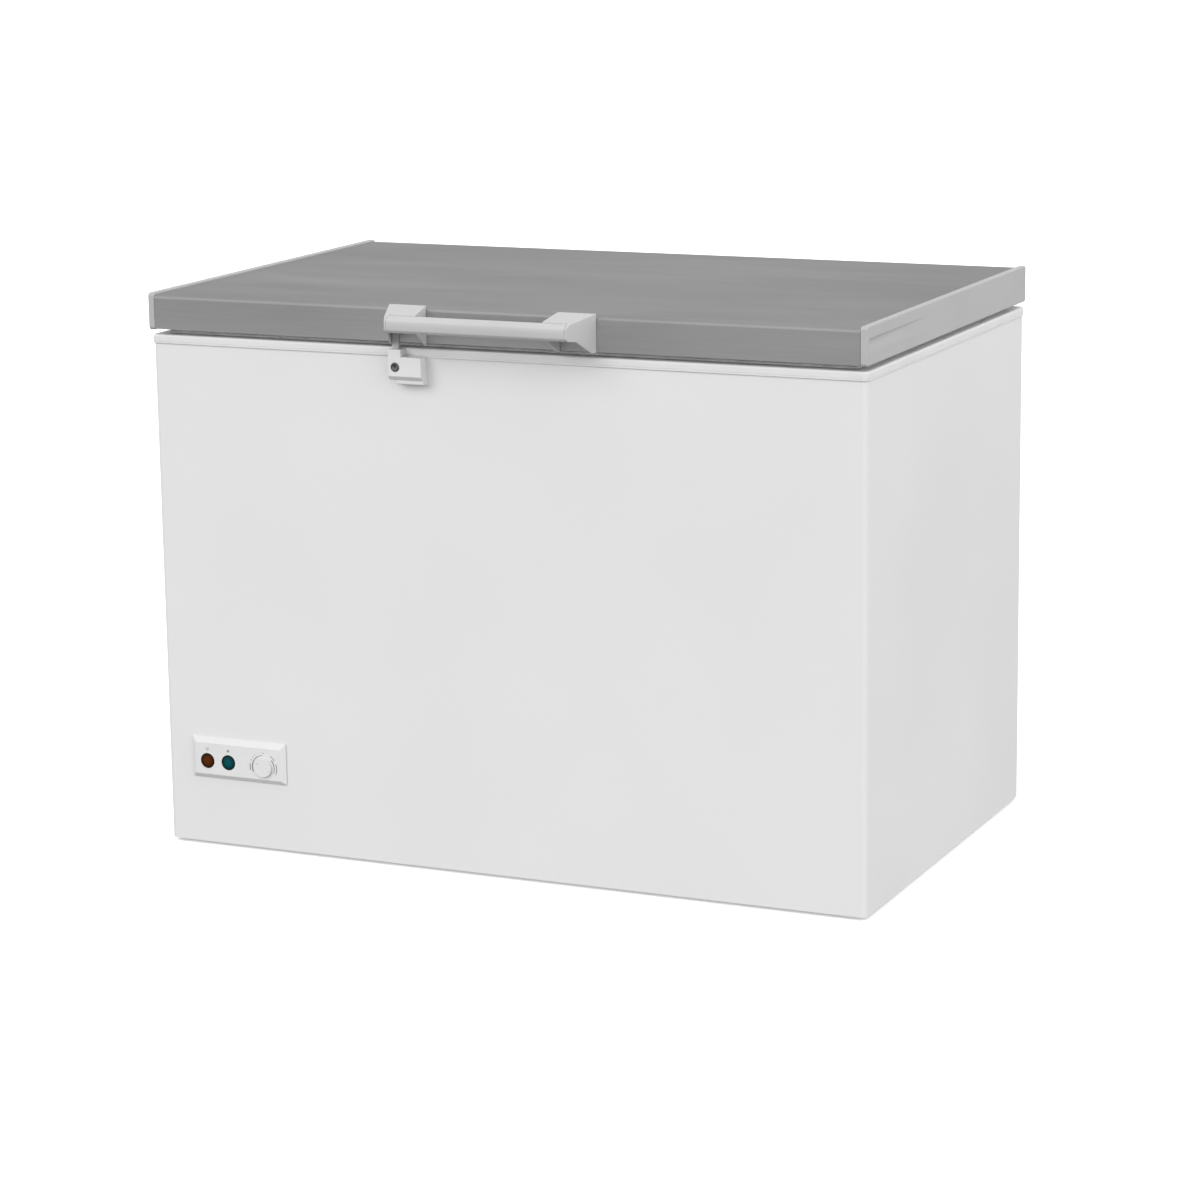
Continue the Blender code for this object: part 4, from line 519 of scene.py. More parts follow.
# ---------------------------------------------------------------- finishes
class Shader:
    """One material while it is being made."""

    def __init__(self, name: str) -> None:
        """Starts a material of this name with an empty Principled shader."""
        self.material = bpy.data.materials.new(name)
        self.material.use_nodes = True
        self.tree = self.material.node_tree
        self.surface = self.tree.nodes["Principled BSDF"]
        self.place = self.add("ShaderNodeTexCoord").outputs["Object"]
        self.normal: NodeSocket | None = None

    def add(self, kind: str, **settings: object) -> Node:
        """Adds a node with some of its settings."""
        node = self.tree.nodes.new(kind)
        for key, value in settings.items():
            setattr(node, key, value)
        return node

    def wire(self, source: NodeSocket, target: NodeSocket) -> None:
        """Links two sockets."""
        self.tree.links.new(source, target)

    def fix(self, **values: object) -> None:
        """Sets the surface's own sockets, whose names have _ for each space."""
        for name, value in values.items():
            self.surface.inputs[name.replace("_", " ")].default_value = value

    def colour(self, value: Colour) -> None:
        """Sets one colour all over."""
        self.surface.inputs["Base Color"].default_value = (*value, 1)

    def stretched(self, x: float, y: float, z: float) -> NodeSocket:
        """Object coordinates multiplied along each axis."""
        mapping = self.add("ShaderNodeMapping")
        mapping.inputs["Scale"].default_value = (x, y, z)
        self.wire(self.place, mapping.inputs["Vector"])
        return mapping.outputs["Vector"]

    def noise(self, size: float, detail: float = 3.0, where: NodeSocket | None = None) -> NodeSocket:
        """Cloudy noise.

        Args:
            size: How large its features are, in metres, or in the units of where.
            detail: How many finer layers it has.
            where: Coordinates other than the object's own.

        Returns:
            A factor between 0 and 1.
        """
        texture = self.add("ShaderNodeTexNoise")
        texture.inputs["Scale"].default_value = 1 / size
        texture.inputs["Detail"].default_value = detail
        self.wire(where or self.place, texture.inputs["Vector"])
        return texture.outputs["Fac"]

    def cells(self, size: float, feature: str = "F1") -> NodeSocket:
        """Distance inside Voronoi cells of a size."""
        texture = self.add("ShaderNodeTexVoronoi", feature=feature)
        texture.inputs["Scale"].default_value = 1 / size
        self.wire(self.place, texture.inputs["Vector"])
        return texture.outputs["Distance"]

    def ranged(
        self, factor: NodeSocket, low: float, high: float, start: float = 0.3, end: float = 0.7
    ) -> NodeSocket:
        """A factor turned into a number.

        Args:
            factor: What it follows.
            low: The number at start.
            high: The number at end.
            start: The factor where the change starts.
            end: The factor where it ends.

        Returns:
            The number.
        """
        node = self.add("ShaderNodeMapRange")
        for name, value in (("From Min", start), ("From Max", end), ("To Min", low), ("To Max", high)):
            node.inputs[name].default_value = value
        self.wire(factor, node.inputs["Value"])
        return node.outputs["Result"]

    def tinted(
        self, factor: NodeSocket, first: Colour, second: Colour, start: float = 0.3, end: float = 0.7
    ) -> NodeSocket:
        """A colour between two others.

        Args:
            factor: What it follows.
            first: The colour at start.
            second: The colour at end.
            start: The factor where the change starts.
            end: The factor where it ends.

        Returns:
            The colour.
        """
        node = self.add("ShaderNodeValToRGB")
        node.color_ramp.elements[0].position = start
        node.color_ramp.elements[0].color = (*first, 1)
        node.color_ramp.elements[1].position = end
        node.color_ramp.elements[1].color = (*second, 1)
        self.wire(factor, node.inputs["Fac"])
        return node.outputs["Color"]

    def relief(self, height: NodeSocket, depth: float, strength: float = 1.0) -> None:
        """Adds a bump.

        Args:
            height: The factor that makes the bump.
            depth: How deep it is, in metres.
            strength: How much of it shows.
        """
        node = self.add("ShaderNodeBump")
        node.inputs["Strength"].default_value = strength
        node.inputs["Distance"].default_value = depth
        self.wire(height, node.inputs["Height"])
        if self.normal:
            self.wire(self.normal, node.inputs["Normal"])
        self.normal = node.outputs["Normal"]
        self.wire(self.normal, self.surface.inputs["Normal"])

    def follow(self, name: str, source: NodeSocket) -> None:
        """Drives one of the surface's sockets."""
        self.wire(source, self.surface.inputs[name])


def shade(colour: Colour, factor: float) -> Colour:
    """A colour made darker or lighter by a factor."""
    return tuple(min(1.0, part * factor) for part in colour)


@dataclass(frozen=True)
class Finish:
    """A finish that makes its material once."""

    name: str

    def material(self) -> Material:
        """The finish's material."""
        found = bpy.data.materials.get(self.name)
        return found or self.make()

    def make(self) -> Material:
        """Makes the material."""
        raise NotImplementedError


@dataclass(frozen=True)
class PowderCoat(Finish):
    """Sprayed and baked paint on sheet: a fine orange peel and slightly uneven gloss."""

    colour: Colour
    roughness: float = 0.36
    peel: float = 1.6 * MM

    def make(self) -> Material:
        """Makes the paint."""
        shader = Shader(self.name)
        shader.fix(Coat_Weight=0.12, Coat_Roughness=0.22, Specular_IOR_Level=0.42)
        cloud = shader.noise(0.35, 2.0)
        shader.follow("Base Color", shader.tinted(cloud, shade(self.colour, 0.985), shade(self.colour, 1.01)))
        shader.follow("Roughness", shader.ranged(cloud, self.roughness - 0.03, self.roughness + 0.04))
        shader.relief(shader.noise(self.peel, 2.0), 0.012 * MM, 0.35)
        shader.relief(shader.noise(0.22, 1.0), 0.5 * MM, 0.05)
        return shader.material


@dataclass(frozen=True)
class BrushedSheet(Finish):
    """Stainless sheet brushed along X, with fine grain and longer, fainter streaks."""

    colour: Colour
    roughness: float = 0.54
    grain: float = 0.45 * MM
    streak: float = 3.0 * MM
    edge: float = 0.42

    def make(self) -> Material:
        """Makes the sheet."""
        shader = Shader(self.name)
        shader.fix(Metallic=1.0, Specular_Tint=(self.edge, self.edge, self.edge, 1))
        fine = shader.noise(self.grain, 3.0, shader.stretched(0.006, 1, 1))
        long = shader.noise(self.streak, 4.0, shader.stretched(0.012, 1, 1))
        wide = shader.noise(0.09, 2.0, shader.stretched(0.25, 1, 1))
        tone = self.mixed(shader, fine, long, wide)
        dark, light = shade(self.colour, 0.80), shade(self.colour, 1.16)
        shader.follow("Base Color", shader.tinted(tone, dark, light, 0.25, 0.75))
        shader.follow("Roughness", shader.ranged(long, self.roughness - 0.05, self.roughness + 0.06))
        shader.relief(fine, 0.010 * MM, 0.55)
        shader.relief(long, 0.02 * MM, 0.25)
        return shader.material

    def mixed(self, shader: Shader, fine: NodeSocket, long: NodeSocket, wide: NodeSocket) -> NodeSocket:
        """The three layers of grain averaged.

        Args:
            shader: The material.
            fine: Grain.
            long: Streaks.
            wide: Slow change across the sheet.

        Returns:
            A factor between 0 and 1.
        """
        total = wide
        for layer, share in ((long, 0.42), (fine, 0.30)):
            blend = shader.add("ShaderNodeMix")
            blend.inputs["Factor"].default_value = share
            shader.wire(total, blend.inputs["A"])
            shader.wire(layer, blend.inputs["B"])
            total = blend.outputs["Result"]
        return total


@dataclass(frozen=True)
class Moulding(Finish):
    """Moulded plastic: the tool's fine texture, with a little variation in gloss."""

    colour: Colour
    roughness: float = 0.4
    grain: float = 0.5 * MM
    depth: float = 0.02 * MM
    shine: float = 0.45

    def make(self) -> Material:
        """Makes the plastic."""
        shader = Shader(self.name)
        shader.fix(Specular_IOR_Level=self.shine)
        cloud = shader.noise(0.06, 3.0)
        shader.follow("Base Color", shader.tinted(cloud, shade(self.colour, 0.97), shade(self.colour, 1.02)))
        shader.follow("Roughness", shader.ranged(cloud, self.roughness - 0.03, self.roughness + 0.05))
        shader.relief(shader.noise(self.grain, 3.0), self.depth, 0.5)
        return shader.material


@dataclass(frozen=True)
class SealRubber(Finish):
    """Soft extruded rubber with a dry bloom."""

    colour: Colour
    roughness: float = 0.62

    def make(self) -> Material:
        """Makes the rubber."""
        shader = Shader(self.name)
        shader.fix(Sheen_Weight=0.15, Sheen_Roughness=0.5, Specular_IOR_Level=0.35)
        bloom = shader.noise(0.02, 4.0)
        shader.follow("Base Color", shader.tinted(bloom, shade(self.colour, 0.88), shade(self.colour, 1.12)))
        shader.follow("Roughness", shader.ranged(bloom, self.roughness - 0.06, self.roughness + 0.08))
        shader.relief(shader.noise(0.35 * MM, 2.0), 0.02 * MM, 0.4)
        return shader.material


@dataclass(frozen=True)
class PlatedMetal(Finish):
    """Chrome or zinc plate: metal with handling haze and, on zinc, a faint spangle."""

    colour: Colour
    roughness: float
    spangle: float = 0.0

    def make(self) -> Material:
        """Makes the plate."""
        shader = Shader(self.name)
        shader.fix(Metallic=1.0)
        haze = shader.noise(0.015, 4.0)
        shader.follow("Roughness", shader.ranged(haze, self.roughness * 0.8, self.roughness * 1.3))
        tone = shader.cells(self.spangle) if self.spangle else haze
        dark, light = shade(self.colour, 0.88), shade(self.colour, 1.08)
        shader.follow("Base Color", shader.tinted(tone, dark, light, 0.2, 0.8))
        shader.relief(shader.noise(0.6 * MM, 2.0), 0.004 * MM, 0.4)
        return shader.material


@dataclass(frozen=True)
class EmbossedSheet(Finish):
    """Aluminium sheet rolled with a stucco pattern, as tubs are lined with."""

    colour: Colour
    cell: float = 5.5 * MM
    roughness: float = 0.34

    def make(self) -> Material:
        """Makes the sheet."""
        shader = Shader(self.name)
        shader.fix(Metallic=0.85)
        cloud = shader.noise(0.12, 3.0)
        shader.follow("Base Color", shader.tinted(cloud, shade(self.colour, 0.94), shade(self.colour, 1.04)))
        shader.follow("Roughness", shader.ranged(cloud, self.roughness - 0.04, self.roughness + 0.08))
        shader.relief(shader.ranged(shader.noise(self.cell, 1.5), 0.0, 1.0, 0.42, 0.58), 0.25 * MM, 0.6)
        return shader.material


@dataclass(frozen=True)
class RigidFoam(Finish):
    """Pale closed-cell foam with small pores."""

    colour: Colour

    def make(self) -> Material:
        """Makes the foam."""
        shader = Shader(self.name)
        shader.fix(Roughness=0.85)
        pores = shader.cells(1.8 * MM)
        cloud = shader.noise(0.05, 3.0)
        shader.follow("Base Color", shader.tinted(cloud, shade(self.colour, 0.86), shade(self.colour, 1.06)))
        shader.relief(pores, 0.5 * MM, 0.7)
        return shader.material


@dataclass(frozen=True)
class DrawnTube(Finish):
    """Drawn metal tube, dulled in patches."""

    colour: Colour
    dulled: Colour
    roughness: float = 0.28

    def make(self) -> Material:
        """Makes the tube's surface."""
        shader = Shader(self.name)
        shader.fix(Metallic=1.0)
        patches = shader.noise(0.03, 4.0)
        shader.follow("Base Color", shader.tinted(patches, self.colour, self.dulled, 0.45, 0.72))
        shader.follow("Roughness", shader.ranged(patches, self.roughness, self.roughness + 0.22, 0.4, 0.7))
        shader.relief(shader.noise(0.3 * MM, 2.0), 0.01 * MM, 0.4)
        return shader.material


@dataclass(frozen=True)
class TintedLens(Finish):
    """Deep-coloured clear plastic over a dark lamp, ringed like a lens to spread the light, and painted
    lighter in its middle as a painted glow.
    """

    deep: Colour
    # painted glow: the colour in the lens's middle, lighter than its edge though the lamp behind is dark
    painted_glow_colour: Colour
    centre: tuple[float, float, float]
    pitch: float = 1.5 * MM

    def make(self) -> Material:
        """Makes the lens."""
        shader = Shader(self.name)
        shader.fix(Roughness=0.22, Specular_IOR_Level=0.14)
        mapping = shader.add("ShaderNodeMapping")
        mapping.inputs["Location"].default_value = [-part for part in self.centre]
        shader.wire(shader.place, mapping.inputs["Vector"])
        rings = shader.add("ShaderNodeTexWave", wave_type="RINGS", rings_direction="Y")
        rings.inputs["Scale"].default_value = 0.314 / self.pitch
        shader.wire(mapping.outputs["Vector"], rings.inputs["Vector"])
        reach = shader.add("ShaderNodeVectorMath", operation="LENGTH")
        shader.wire(mapping.outputs["Vector"], reach.inputs[0])
        # painted glow: the colour runs from the deep tint at the edge to the lighter painted glow in the
        # middle
        glow = shader.ranged(reach.outputs["Value"], 1.0, 0.0, 2 * MM, 11 * MM)
        shader.follow("Base Color", shader.tinted(glow, self.deep, self.painted_glow_colour, 0.0, 0.8))
        shader.relief(rings.outputs["Fac"], 0.05 * MM, 0.35)
        return shader.material


@dataclass(frozen=True)
class Ink(Finish):
    """Pad-printed grey ink, slightly uneven."""

    colour: Colour

    def make(self) -> Material:
        """Makes the ink."""
        shader = Shader(self.name)
        shader.fix(Roughness=0.55)
        wear = shader.noise(1.2 * MM, 3.0)
        shader.follow("Base Color", shader.tinted(wear, shade(self.colour, 0.85), shade(self.colour, 1.2)))
        return shader.material


@dataclass(frozen=True)
class StudioPaper(Finish):
    """The pale floor: matt paper with a faint mottle and a slight glow of its own."""

    colour: Colour
    glow: float = 0.34

    def make(self) -> Material:
        """Makes the paper."""
        shader = Shader(self.name)
        shader.fix(Roughness=0.9, Specular_IOR_Level=0.1)
        shader.fix(Emission_Strength=self.glow, Emission_Color=(1, 1, 1, 1))
        mottle = shader.noise(0.4, 3.0)
        shader.follow("Base Color", shader.tinted(mottle, shade(self.colour, 0.995), self.colour))
        return shader.material


WHITE_COAT = PowderCoat("white powder coat", (0.70, 0.70, 0.70))
WHITE_MOULDING = Moulding("white moulding", (0.68, 0.68, 0.68), 0.34, 0.6 * MM, 0.008 * MM)
GREY_MOULDING = Moulding("light grey moulding", (0.42, 0.42, 0.42), 0.38, 0.45 * MM, 0.016 * MM)
HANDLE_MOULDING = Moulding("handle grey moulding", (0.49, 0.49, 0.49), 0.34, 0.45 * MM, 0.012 * MM)
GLOSS_BLACK = Moulding("near-black rim", (0.006, 0.006, 0.006), 0.5, 0.5 * MM, 0.006 * MM, 0.15)
BLACK_MOULDING = Moulding("black moulding", (0.025, 0.025, 0.026), 0.48)
BRUSHED_STEEL = BrushedSheet("brushed steel sheet", (0.60, 0.60, 0.605))
GREY_SEAL = SealRubber("grey seal rubber", (0.62, 0.62, 0.63))
BLACK_RUBBER = SealRubber("black rubber", (0.03, 0.03, 0.03), 0.7)
CHROME = PlatedMetal("chrome plate", (0.62, 0.62, 0.63), 0.12)
ZINC = PlatedMetal("zinc plate", (0.50, 0.51, 0.52), 0.34, 6 * MM)
# painted shade: chrome given a much darker colour than the plain chrome, standing in for the lock barrel's
# dark reflections
PAINTED_SHADE_CHROME = PlatedMetal("chrome darkened as painted shade", (0.26, 0.26, 0.27), 0.22)
TUB_SHEET = EmbossedSheet("stucco aluminium", (0.74, 0.75, 0.76))
FOAM = RigidFoam("cream foam", (0.82, 0.74, 0.50))
BLACK_ENAMEL = PowderCoat("black enamel", (0.018, 0.018, 0.018), 0.3, 1.2 * MM)
COPPER = DrawnTube("drawn copper", (0.72, 0.35, 0.20), (0.38, 0.20, 0.13))
ALUMINIUM = DrawnTube("drawn aluminium", (0.62, 0.63, 0.64), (0.48, 0.49, 0.50))
WIRE_COAT = Moulding("dipped white coating", (0.78, 0.78, 0.78), 0.30, 2.5 * MM, 0.03 * MM)
GREY_INK = Ink("grey printing ink", (0.20, 0.20, 0.20))
PAPER = StudioPaper("pale studio paper", (0.97, 0.97, 0.97))


def install(piece: Object, body: Body, finish: Finish, slot: Slot, *nodes: str) -> Object:
    """Gives a piece its finish and hangs it on the body that carries it.

    Args:
        piece: The piece, in place.
        body: The body that it rides on.
        finish: Its finish.
        slot: The record's slot for it; not used.
        nodes: The nodes that it stands for.

    Returns:
        The same piece.
    """
    piece.data.materials.clear()
    piece.data.materials.append(finish.material())
    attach(piece, body.value)
    if nodes:
        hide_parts(*nodes)
    log.info("%s: %s, on %s", piece.name, finish.name, body.value)
    return piece


def dress(finish: Finish, *nodes: str) -> None:
    """Gives nodes that are shown as they are their finish.

    Args:
        finish: The finish.
        nodes: The nodes.
    """
    for node in nodes:
        materials = NODES[node].data.materials
        materials.clear()
        materials.append(finish.material())
        log.info("%s: %s, as packed", node, finish.name)


# ---------------------------------------------------------------- sub-assemblies
@dataclass
class CabinetShell:
    """The painted wrap, the sheet behind and below it, and its feet."""

    sheet_edge: float = 0.25 * MM
    screw_radius: float = 4.2 * MM
    screw_rise: float = 1.1 * MM
    screw_inset: float = 12 * MM
    screw_rows: int = 4

    def build(self) -> list[Object]:
        """Makes the shell's pieces."""
        wrap = shaded(refined("outer_wrap", "cabinet_wrap"), 50)
        back = softened(refined("back_panel", "rear_sheet"), self.sheet_edge, 2)
        pan = softened(refined("base_pan", "floor_pan"), self.sheet_edge, 2)
        pieces = [
            install(wrap, Body.CABINET, WHITE_COAT, Slot.WHITE_PAINT, "outer_wrap"),
            install(back, Body.CABINET, WHITE_COAT, Slot.WHITE_PAINT, "back_panel"),
            install(pan, Body.CABINET, ZINC, Slot.ZINC, "base_pan"),
            *(self.foot(f"{row}_{side}") for row in ("front", "back") for side in ("left", "right")),
            *self.rear_screws(),
        ]
        dress(FOAM, "insulation_foam")
        return pieces

    def foot(self, corner: str) -> Object:
        """One glide: a moulded puck with a groove above its worn edge.

        Args:
            corner: Which corner it stands under.

        Returns:
            The glide.
        """
        node = f"foot_{corner}"
        extent = Extent.of(node)
        radius = extent.size.x / 2
        height = extent.size.z
        profile = [
            (radius - 3 * MM, 0),
            (radius - 1.2 * MM, 0.6 * MM),
            (radius - 0.2 * MM, 2.2 * MM),
            (radius, 3.2 * MM),
            (radius, 0.52 * height),
            (radius - 1.2 * MM, 0.58 * height),
            (radius - 1.2 * MM, 0.70 * height),
            (radius, 0.76 * height),
            (radius, height),
        ]
        centre = (extent.centre.x, extent.centre.y, extent.low.z)
        glide = shaded(turned(f"glide_{corner}", profile, centre, Facing.UP, 56), 30)
        return install(glide, Body.CABINET, BLACK_MOULDING, Slot.BLACK_PLASTIC, node)

    def rear_screws(self) -> list[Object]:
        """Pan-head screws down both edges of the rear sheet."""
        extent = Extent.of("back_panel")
        seat = Extent.of("outer_wrap").high.y
        pitch = (extent.size.z - 4 * self.screw_inset) / (self.screw_rows - 1)
        screws = []
        sides = {"left": extent.low.x + self.screw_inset, "right": extent.high.x - self.screw_inset}
        for side, x in sides.items():
            for row in range(self.screw_rows):
                place = Vector((x, seat, extent.low.z + 2 * self.screw_inset + row * pitch))
                screw = cross_screw(f"rear_screw_{side}_{row + 1}", place, self.screw_radius, self.screw_rise)
                screws.append(install(screw, Body.CABINET, ZINC, Slot.ZINC))
        return screws


def cross_screw(name: str, place: Vector, radius: float, rise: float) -> Object:
    """A pan head with a cross recess, facing the back.

    Args:
        name: The piece's name.
        place: The middle of its seat.
        radius: The head's radius.
        rise: The head's height.

    Returns:
        The screw head.
    """
    steps = 5
    dome = [
        (radius * math.cos(a), rise * (0.35 + 0.65 * math.sin(a)))
        for a in [math.radians(82) * step / steps for step in range(steps + 1)]
    ]
    head = turned(name, [(radius, 0), *dome], place, Facing.BACK, 32)
    reach = 0.5 * radius
    half = 0.11 * radius
    for slope in (45, 135):
        bm = bmesh.new()
        shape = Matrix.Diagonal((2 * reach, 1.2 * rise, 2 * half, 1))
        spin = Matrix.Rotation(math.radians(slope), 4, "Y")
        middle = place + Vector((0, rise, 0))
        bmesh.ops.create_cube(bm, size=1, matrix=Matrix.Translation(middle) @ spin @ shape)
        head = combined(head, made("cut_cross", bm), "DIFFERENCE")
    return shaded(head, 30)


@dataclass
class CollarTrim:
    """The moulded frame round the mouth, with its rolled edge, joint line and basket ledge."""

    corner: float = 10 * MM
    roll: float = 3.4 * MM
    joint_up: float = 2.6 * MM
    joint_depth: float = 0.5 * MM
    plate: float = 3 * MM
    skirt: float = 3 * MM
    skirt_inset: float = 1.7 * MM
    mouth_inset: float = 75.3 * MM
    mouth_corner: float = 27 * MM
    ledge_drop: float = 26 * MM
    ledge_width: float = 8 * MM
    turn_steps: int = 6

    def build(self) -> list[Object]:
        """Makes the collar."""
        extent = Extent.of("top_collar")
        base = Extent.of("outer_wrap").high.z - 9.9 * MM
        top = extent.high.z
        around = Frame(extent.low, extent.high)
        collar = around.swept("mouth_collar", self.profile(base, top), 12)
        return [install(shaded(collar, 40), Body.CABINET, WHITE_MOULDING, Slot.WHITE_PLASTIC, "top_collar")]

    def profile(self, base: float, top: float) -> list[tuple[float, float, float]]:
        """The collar's section.

        Args:
            base: Height of the outer skirt's lower edge.
            top: Height of the collar's top.

        Returns:
            Inset, height and corner radius of each point.
        """
        joint = base + self.joint_up
        deep = self.joint_depth
        ledge = top - self.ledge_drop
        inner = self.mouth_inset
        under = self.corner - self.skirt_inset
        points = [
            (0.5 * MM, base, self.corner),
            (0, base + 0.5 * MM, self.corner),
            (0, joint, self.corner),
            (deep, joint + 0.3 * deep, self.corner - deep),
            (deep, joint + 0.9 * deep, self.corner - deep),
            (0, joint + 1.4 * deep, self.corner),
        ]
        for step in range(self.turn_steps + 1):
            angle = math.radians(90) * step / self.turn_steps
            inset = self.roll * (1 - math.cos(angle))
            points.append((inset, top - self.roll * (1 - math.sin(angle)), self.corner - 0.5 * inset))
        for step in range(self.turn_steps + 1):
            angle = math.radians(90) * step / self.turn_steps
            back = 2 * MM * (1 - math.sin(angle))
            points.append((inner - back, top - 2 * MM * (1 - math.cos(angle)), self.mouth_corner + back))
        tip = self.mouth_corner - self.ledge_width
        return [
            *points,
            (inner, ledge + 1 * MM, self.mouth_corner),
            (inner + 1 * MM, ledge, self.mouth_corner - 1 * MM),
            (inner + self.ledge_width - 1 * MM, ledge, tip + 1 * MM),
            (inner + self.ledge_width, ledge - 0.8 * MM, tip),
            (inner + self.ledge_width, ledge - self.plate, tip),
            (inner - self.skirt, ledge - self.plate, self.mouth_corner + self.skirt),
            (inner - self.skirt, top - self.plate, self.mouth_corner + self.skirt),
            (self.skirt_inset, top - self.plate, under),
            (self.skirt_inset, base, under),
        ]


@dataclass
class LidPanel:
    """The steel-skinned lid: skin, moulded end caps with their finger recess, inner liner and seal."""

    cap_corner: float = 5 * MM
    cap_edge: float = 2.2 * MM
    recess_start: float = 8 * MM
    recess_length: float = 262 * MM
    recess_depth: float = 7.5 * MM
    recess_below: float = 17 * MM
    recess_height: float = 24.5 * MM
    recess_slope: float = 11 * MM
    seal_inset: float = 20 * MM
    seal_width: float = 14 * MM
    seal_corner: float = 10 * MM
    plug_inset: float = 92 * MM
    plug_corner: float = 30 * MM
    liner_sheet: float = 1.5 * MM
    liner_side: float = 0.3 * MM

    def build(self) -> list[Object]:
        """Makes the lid's pieces."""
        skin = shaded(refined("lid_skin", "lid_sheet"), 50)
        pieces = [
            install(skin, Body.LID, BRUSHED_STEEL, Slot.STEEL, "lid_skin"),
            self.cap("left", -1),
            self.cap("right", 1),
            self.liner(),
            self.seal(),
        ]
        dress(FOAM, "lid_foam")
        return pieces

    def cap(self, side: str, sign: int) -> Object:
        """One end cap, softened all round and cut by its tapering finger recess.

        Args:
            side: Which end it closes.
            sign: -1 at the left and 1 at the right.

        Returns:
            The cap.
        """
        node = f"end_cap_{side}"
        extent = Extent.of(node)
        outline = rounded(
            rectangle(extent.low.y, extent.high.y, extent.low.z, extent.high.z, self.cap_corner), 8
        )
        cap = prism(f"lid_end_{side}", outline, Along.X, extent.low.x, extent.high.x)
        cap = softened(cap, self.cap_edge, 5, 50)
        cap = combined(cap, self.recess(extent, sign), "DIFFERENCE")
        return install(shaded(cap, 32), Body.LID, GREY_MOULDING, Slot.GREY_PLASTIC, node)

    def recess(self, extent: Extent, sign: int) -> Object:
        """The wedge that makes a cap's recess: deep in front, nothing at the back.

        Args:
            extent: The cap's extent.
            sign: -1 at the left and 1 at the right.

        Returns:
            The wedge.
        """
        face = extent.high.x if sign > 0 else extent.low.x
        outer = face + sign * 3 * MM
        deep = face - sign * self.recess_depth
        start = extent.low.y + self.recess_start + 1 * MM
        end = start + self.recess_length
        top = extent.high.z - self.recess_below
        bottom = top - self.recess_height
        spread = 3 * MM * self.recess_slope / self.recess_depth
        crease = bottom + self.recess_slope
        front = [(outer, bottom - spread), (outer, top), (deep, top), (deep, crease)]
        rear = [(outer, bottom - spread), (outer, top), (face, top), (face, bottom)]
        bm = bmesh.new()
        rings = [[bm.verts.new((x, y, z)) for x, z in points] for points, y in ((front, start), (rear, end))]
        bridge(bm, rings)
        bm.faces.new(rings[0])
        bm.faces.new(rings[1])
        return made("cut_recess", bm)

    def liner(self) -> Object:
        """The lid's white inner sheet, with a soft-edged raised middle and a stiffening rib round it."""
        extent = Extent.of("lid_liner")
        around = Frame(extent.low, extent.high)
        sheet = self.liner_sheet
        flat = extent.high.z - sheet
        drop = extent.low.z
        inset = self.plug_inset - 1.1 * MM + self.liner_side
        soft = 3.5 * MM
        rib = inset - 22 * MM
        outside = [
            (0, flat, 1 * MM),
            (rib - 5 * MM, flat, 20 * MM),
            (rib, flat - 2.5 * MM, 20 * MM),
            (rib + 5 * MM, flat, 20 * MM),
            (inset - 4 * MM, flat, self.plug_corner + 4 * MM),
            (inset - 1 * MM, flat - 1.2 * MM, self.plug_corner + 1 * MM),
            (inset, flat - 4 * MM, self.plug_corner),
        ]
        for step in range(6):
            angle = math.radians(90) * step / 5
            outside.append(
                (
                    inset + soft * (1 - math.cos(angle)) + 1 * MM,
                    drop + soft * (1 - math.sin(angle)),
                    self.plug_corner - 0.6 * soft * (1 - math.cos(angle)),
                )
            )
        inside = [
            (inset + sheet + 1 * MM, drop + sheet, self.plug_corner),
            (inset + sheet, flat + sheet, self.plug_corner),
        ]
        profile = [*inside, (0, flat + sheet, 1 * MM), *outside]
        sheet_piece = shaded(around.dished("lid_inner", profile, 10), 40)
        return install(sheet_piece, Body.LID, WHITE_MOULDING, Slot.WHITE_PLASTIC, "lid_liner")

    def seal(self) -> Object:
        """The seal: a bellows section with two soft folds, held up in the lid."""
        lid = Extent.of("lid_skin")
        caps = Extent.of("end_cap_left"), Extent.of("end_cap_right")
        extent = Extent.of("lid_gasket")
        low = Vector((caps[0].low.x, lid.low.y, 0))
        high = Vector((caps[1].high.x, lid.high.y, 0))
        bottom = extent.low.z
        height = extent.size.z
        width = self.seal_width
        corner = self.seal_corner
        section = [
            (0.20, 0.00), (0.10, 0.03), (0.03, 0.11), (0.00, 0.22), (0.02, 0.36), (0.09, 0.45),
            (0.16, 0.50), (0.09, 0.56), (0.06, 0.68), (0.08, 0.84), (0.17, 1.00), (0.83, 1.00),
            (0.92, 0.84), (0.94, 0.68), (0.91, 0.56), (0.84, 0.50), (0.91, 0.45), (0.98, 0.36),
            (1.00, 0.22), (0.97, 0.11), (0.90, 0.03), (0.80, 0.00),
        ]
        profile = [(self.seal_inset + u * width, bottom + v * height, corner) for u, v in section]
        seal = shaded(Frame(low, high).swept("lid_seal", profile, 8), 40)
        return install(seal, Body.LID, GREY_SEAL, Slot.GREY_SEAL, "lid_gasket")


